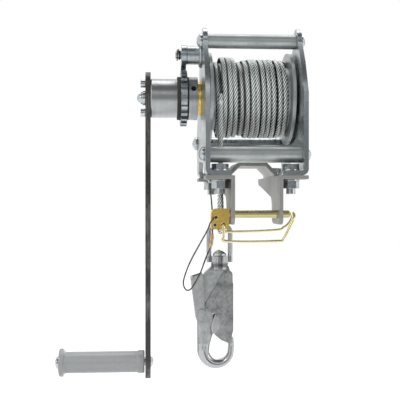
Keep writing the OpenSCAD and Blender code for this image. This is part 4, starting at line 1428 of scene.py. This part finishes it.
@dataclass
class Hook:
    """The forged hook: its body and bowl, and the plates in the notches of the gate's cheeks.

    The CAD body is kept above cut, and the bowl takes over below it.
    """

    x: float = -0.0365
    cut: float = -0.2520
    edge: float = 0.0014
    edge_steps: int = 3
    bowl: HookBowl = field(default_factory=HookBowl)
    fill: CheekFill = field(default_factory=CheekFill)

    def build(self, looks: Finishes) -> None:
        """Builds the pieces about the swivel bolt's axis.

        Args:
            looks: The winch's materials.
        """
        low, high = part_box("swivel_bolt")
        axis = (self.x, (low[1] + high[1]) / 2)
        body = softened("hook_body", self.edge, self.edge_steps, floor=SHAFT + self.cut)
        settle(body, "hook", "cast_zinc", looks.hook, "hook_body")
        settle(self.bowl.build(axis), "hook", "cast_zinc", looks.hook, "hook_body")
        for name, side in (("gate_fill_front", -1), ("gate_fill_back", 1)):
            settle(self.fill.build(name, axis, side), "gate_body", "cast_zinc", looks.trigger)


@dataclass
class WeldBead:
    """The weld round the pawl's stud, laid in overlapping ripples."""

    x: float = -0.0545
    y: float = -0.012
    z: float = SHAFT + 0.0474
    ring: float = 0.0115
    bead: float = 0.0026
    steps: int = 241
    count: int = 14
    ripples: int = 34
    ripple: float = 0.10
    swells: int = 7
    swell: float = 0.06
    phase: float = 1.0
    flat: float = 0.95
    sunk: float = 0.0002
    lean: float = 0.0003

    def build(self, looks: Finishes) -> None:
        """Builds the bead: a ring whose thickness rises and falls with its ripples and slower swells.

        The ring stands out from the plate only, so its section is cut flat on the plate's side.

        Args:
            looks: The winch's materials.
        """
        a = np.linspace(0, TAU, self.steps)
        ripple = self.ripple * np.sin(self.ripples * a)
        swell = self.swell * np.sin(self.swells * a + self.phase)
        thick = self.bead * (1 + ripple + swell)[:, None]
        b = Surface.around(self.count)[None]
        reach = self.ring + thick * np.cos(b)
        x = self.x - self.sunk - np.maximum(0, thick * np.sin(b) * self.flat)
        lean = self.lean * np.sin(self.ripples * a)[:, None] * np.cos(b)
        y = self.y + reach * np.cos(a)[:, None] + lean
        points = np.stack([x, y, self.z + reach * np.sin(a)[:, None]], -1)
        bead = Surface.grid("weld_bead", points, True)
        settle(bead, "frame", "dark_steel", looks.zinc, "pawl_weld")


@dataclass
class EasedParts:
    """CAD nodes that keep their shape and get eased edges and a finish.

    Widths are those of the eased edges in metres, and width is that of the nodes not named. Nodes that
    other pieces stand for, and the springs, get only their finish.
    """

    width: float = 0.0003
    widths: tuple[tuple[str, float], ...] = (
        ("swivel_eye", 0.0008), ("gate", 0.0013), ("trigger", 0.0011), ("grip", 0.0006),
        ("pin_block", 0.0018), ("ferrule", 0.0008), ("side_plate_left", 0.0005), ("side_plate_right", 0.0005),
        ("crank_arm", 0.0005), ("bracket", 0.0005), ("drum", 0.0006), ("ratchet_wheel", 0.0004),
    )
    plain: tuple[str, ...] = (
        "rope_core", "rope_winding", "hanging_rope", "eye_rope", "lanyard", "bail", "pawl_weld", "hook_body",
        "pawl_spring", "gate_spring", "trigger_spring",
    )

    @staticmethod
    def named(look: Finishes) -> dict[str, bpy.types.Material]:
        """Nodes whose finish differs from their material slot's.

        Args:
            look: The winch's materials.

        Returns:
            The finish of each such node.
        """
        return {
            "crank_arm": look.arm, "crank_hub": look.turned, "brake_collar": look.turned,
            "drive_shaft": look.turned, "swivel_eye": look.eye, "drum": look.flange,
            "tie_rod_front": look.tube, "tie_rod_top": look.tube, "tie_bolts": look.bolts,
            "foot_bolts": look.bolts, "foot_washers": look.bolts, "foot_nuts": look.bolts,
            "gate": look.gate, "gate_rivet": look.gate, "trigger": look.trigger,
            "trigger_rivet": look.trigger, "pawl": look.zinc, "pin_block": look.brass,
            "shaft_bush_left": look.brass, "shaft_bush_right": look.brass,
        }

    @staticmethod
    def by_slot(look: Finishes) -> dict[str, bpy.types.Material]:
        """The finish of each material slot.

        Args:
            look: The winch's materials.

        Returns:
            The finish of each slot.
        """
        return {
            "zinc_plate": look.zinc, "bright_steel": look.bright, "dark_steel": look.dark,
            "warm_steel": look.warm, "yellow_zinc": look.yellow, "wire_rope": look.rope,
            "cast_zinc": look.hook, "grip_plastic": look.grip, "brake_lining": look.lining,
        }

    def build(self, looks: Finishes) -> None:
        """Dresses every node, and puts an eased copy of it in its place where it isn't plain.

        Args:
            looks: The winch's materials.
        """
        named, by_slot, widths = self.named(looks), self.by_slot(looks), dict(self.widths)
        slots = {row["node"]: row["material_slot"] for row in frame["record"]["subparts"]}
        bodies = frame["record"]["behaviour"]["bodies"]
        homes = {node: body for body, nodes in bodies.items() for node in nodes}
        for node, home in homes.items():
            material = named.get(node, by_slot[slots[node]])
            if node in self.plain:
                dress(frame["nodes"][node], material)
                continue
            piece = softened(node, widths.get(node, self.width))
            settle(piece, home, slots[node], material, node)


def main() -> None:
    """Builds the scene in order."""
    logging.basicConfig(level=logging.INFO, format="%(name)s: %(message)s")
    Studio().build()
    looks = Finishes()
    HangingRope().build(looks)
    Lanyard().build(looks)
    EasedParts().build(looks)
    Winding().build(looks)
    Bail().build(looks)
    BlockHoles().build(looks)
    Hook().build(looks)
    WeldBead().build(looks)
    scene = bpy.context.scene
    scene.view_settings.view_transform = "Standard"


if __name__ == "__main__":
    main()
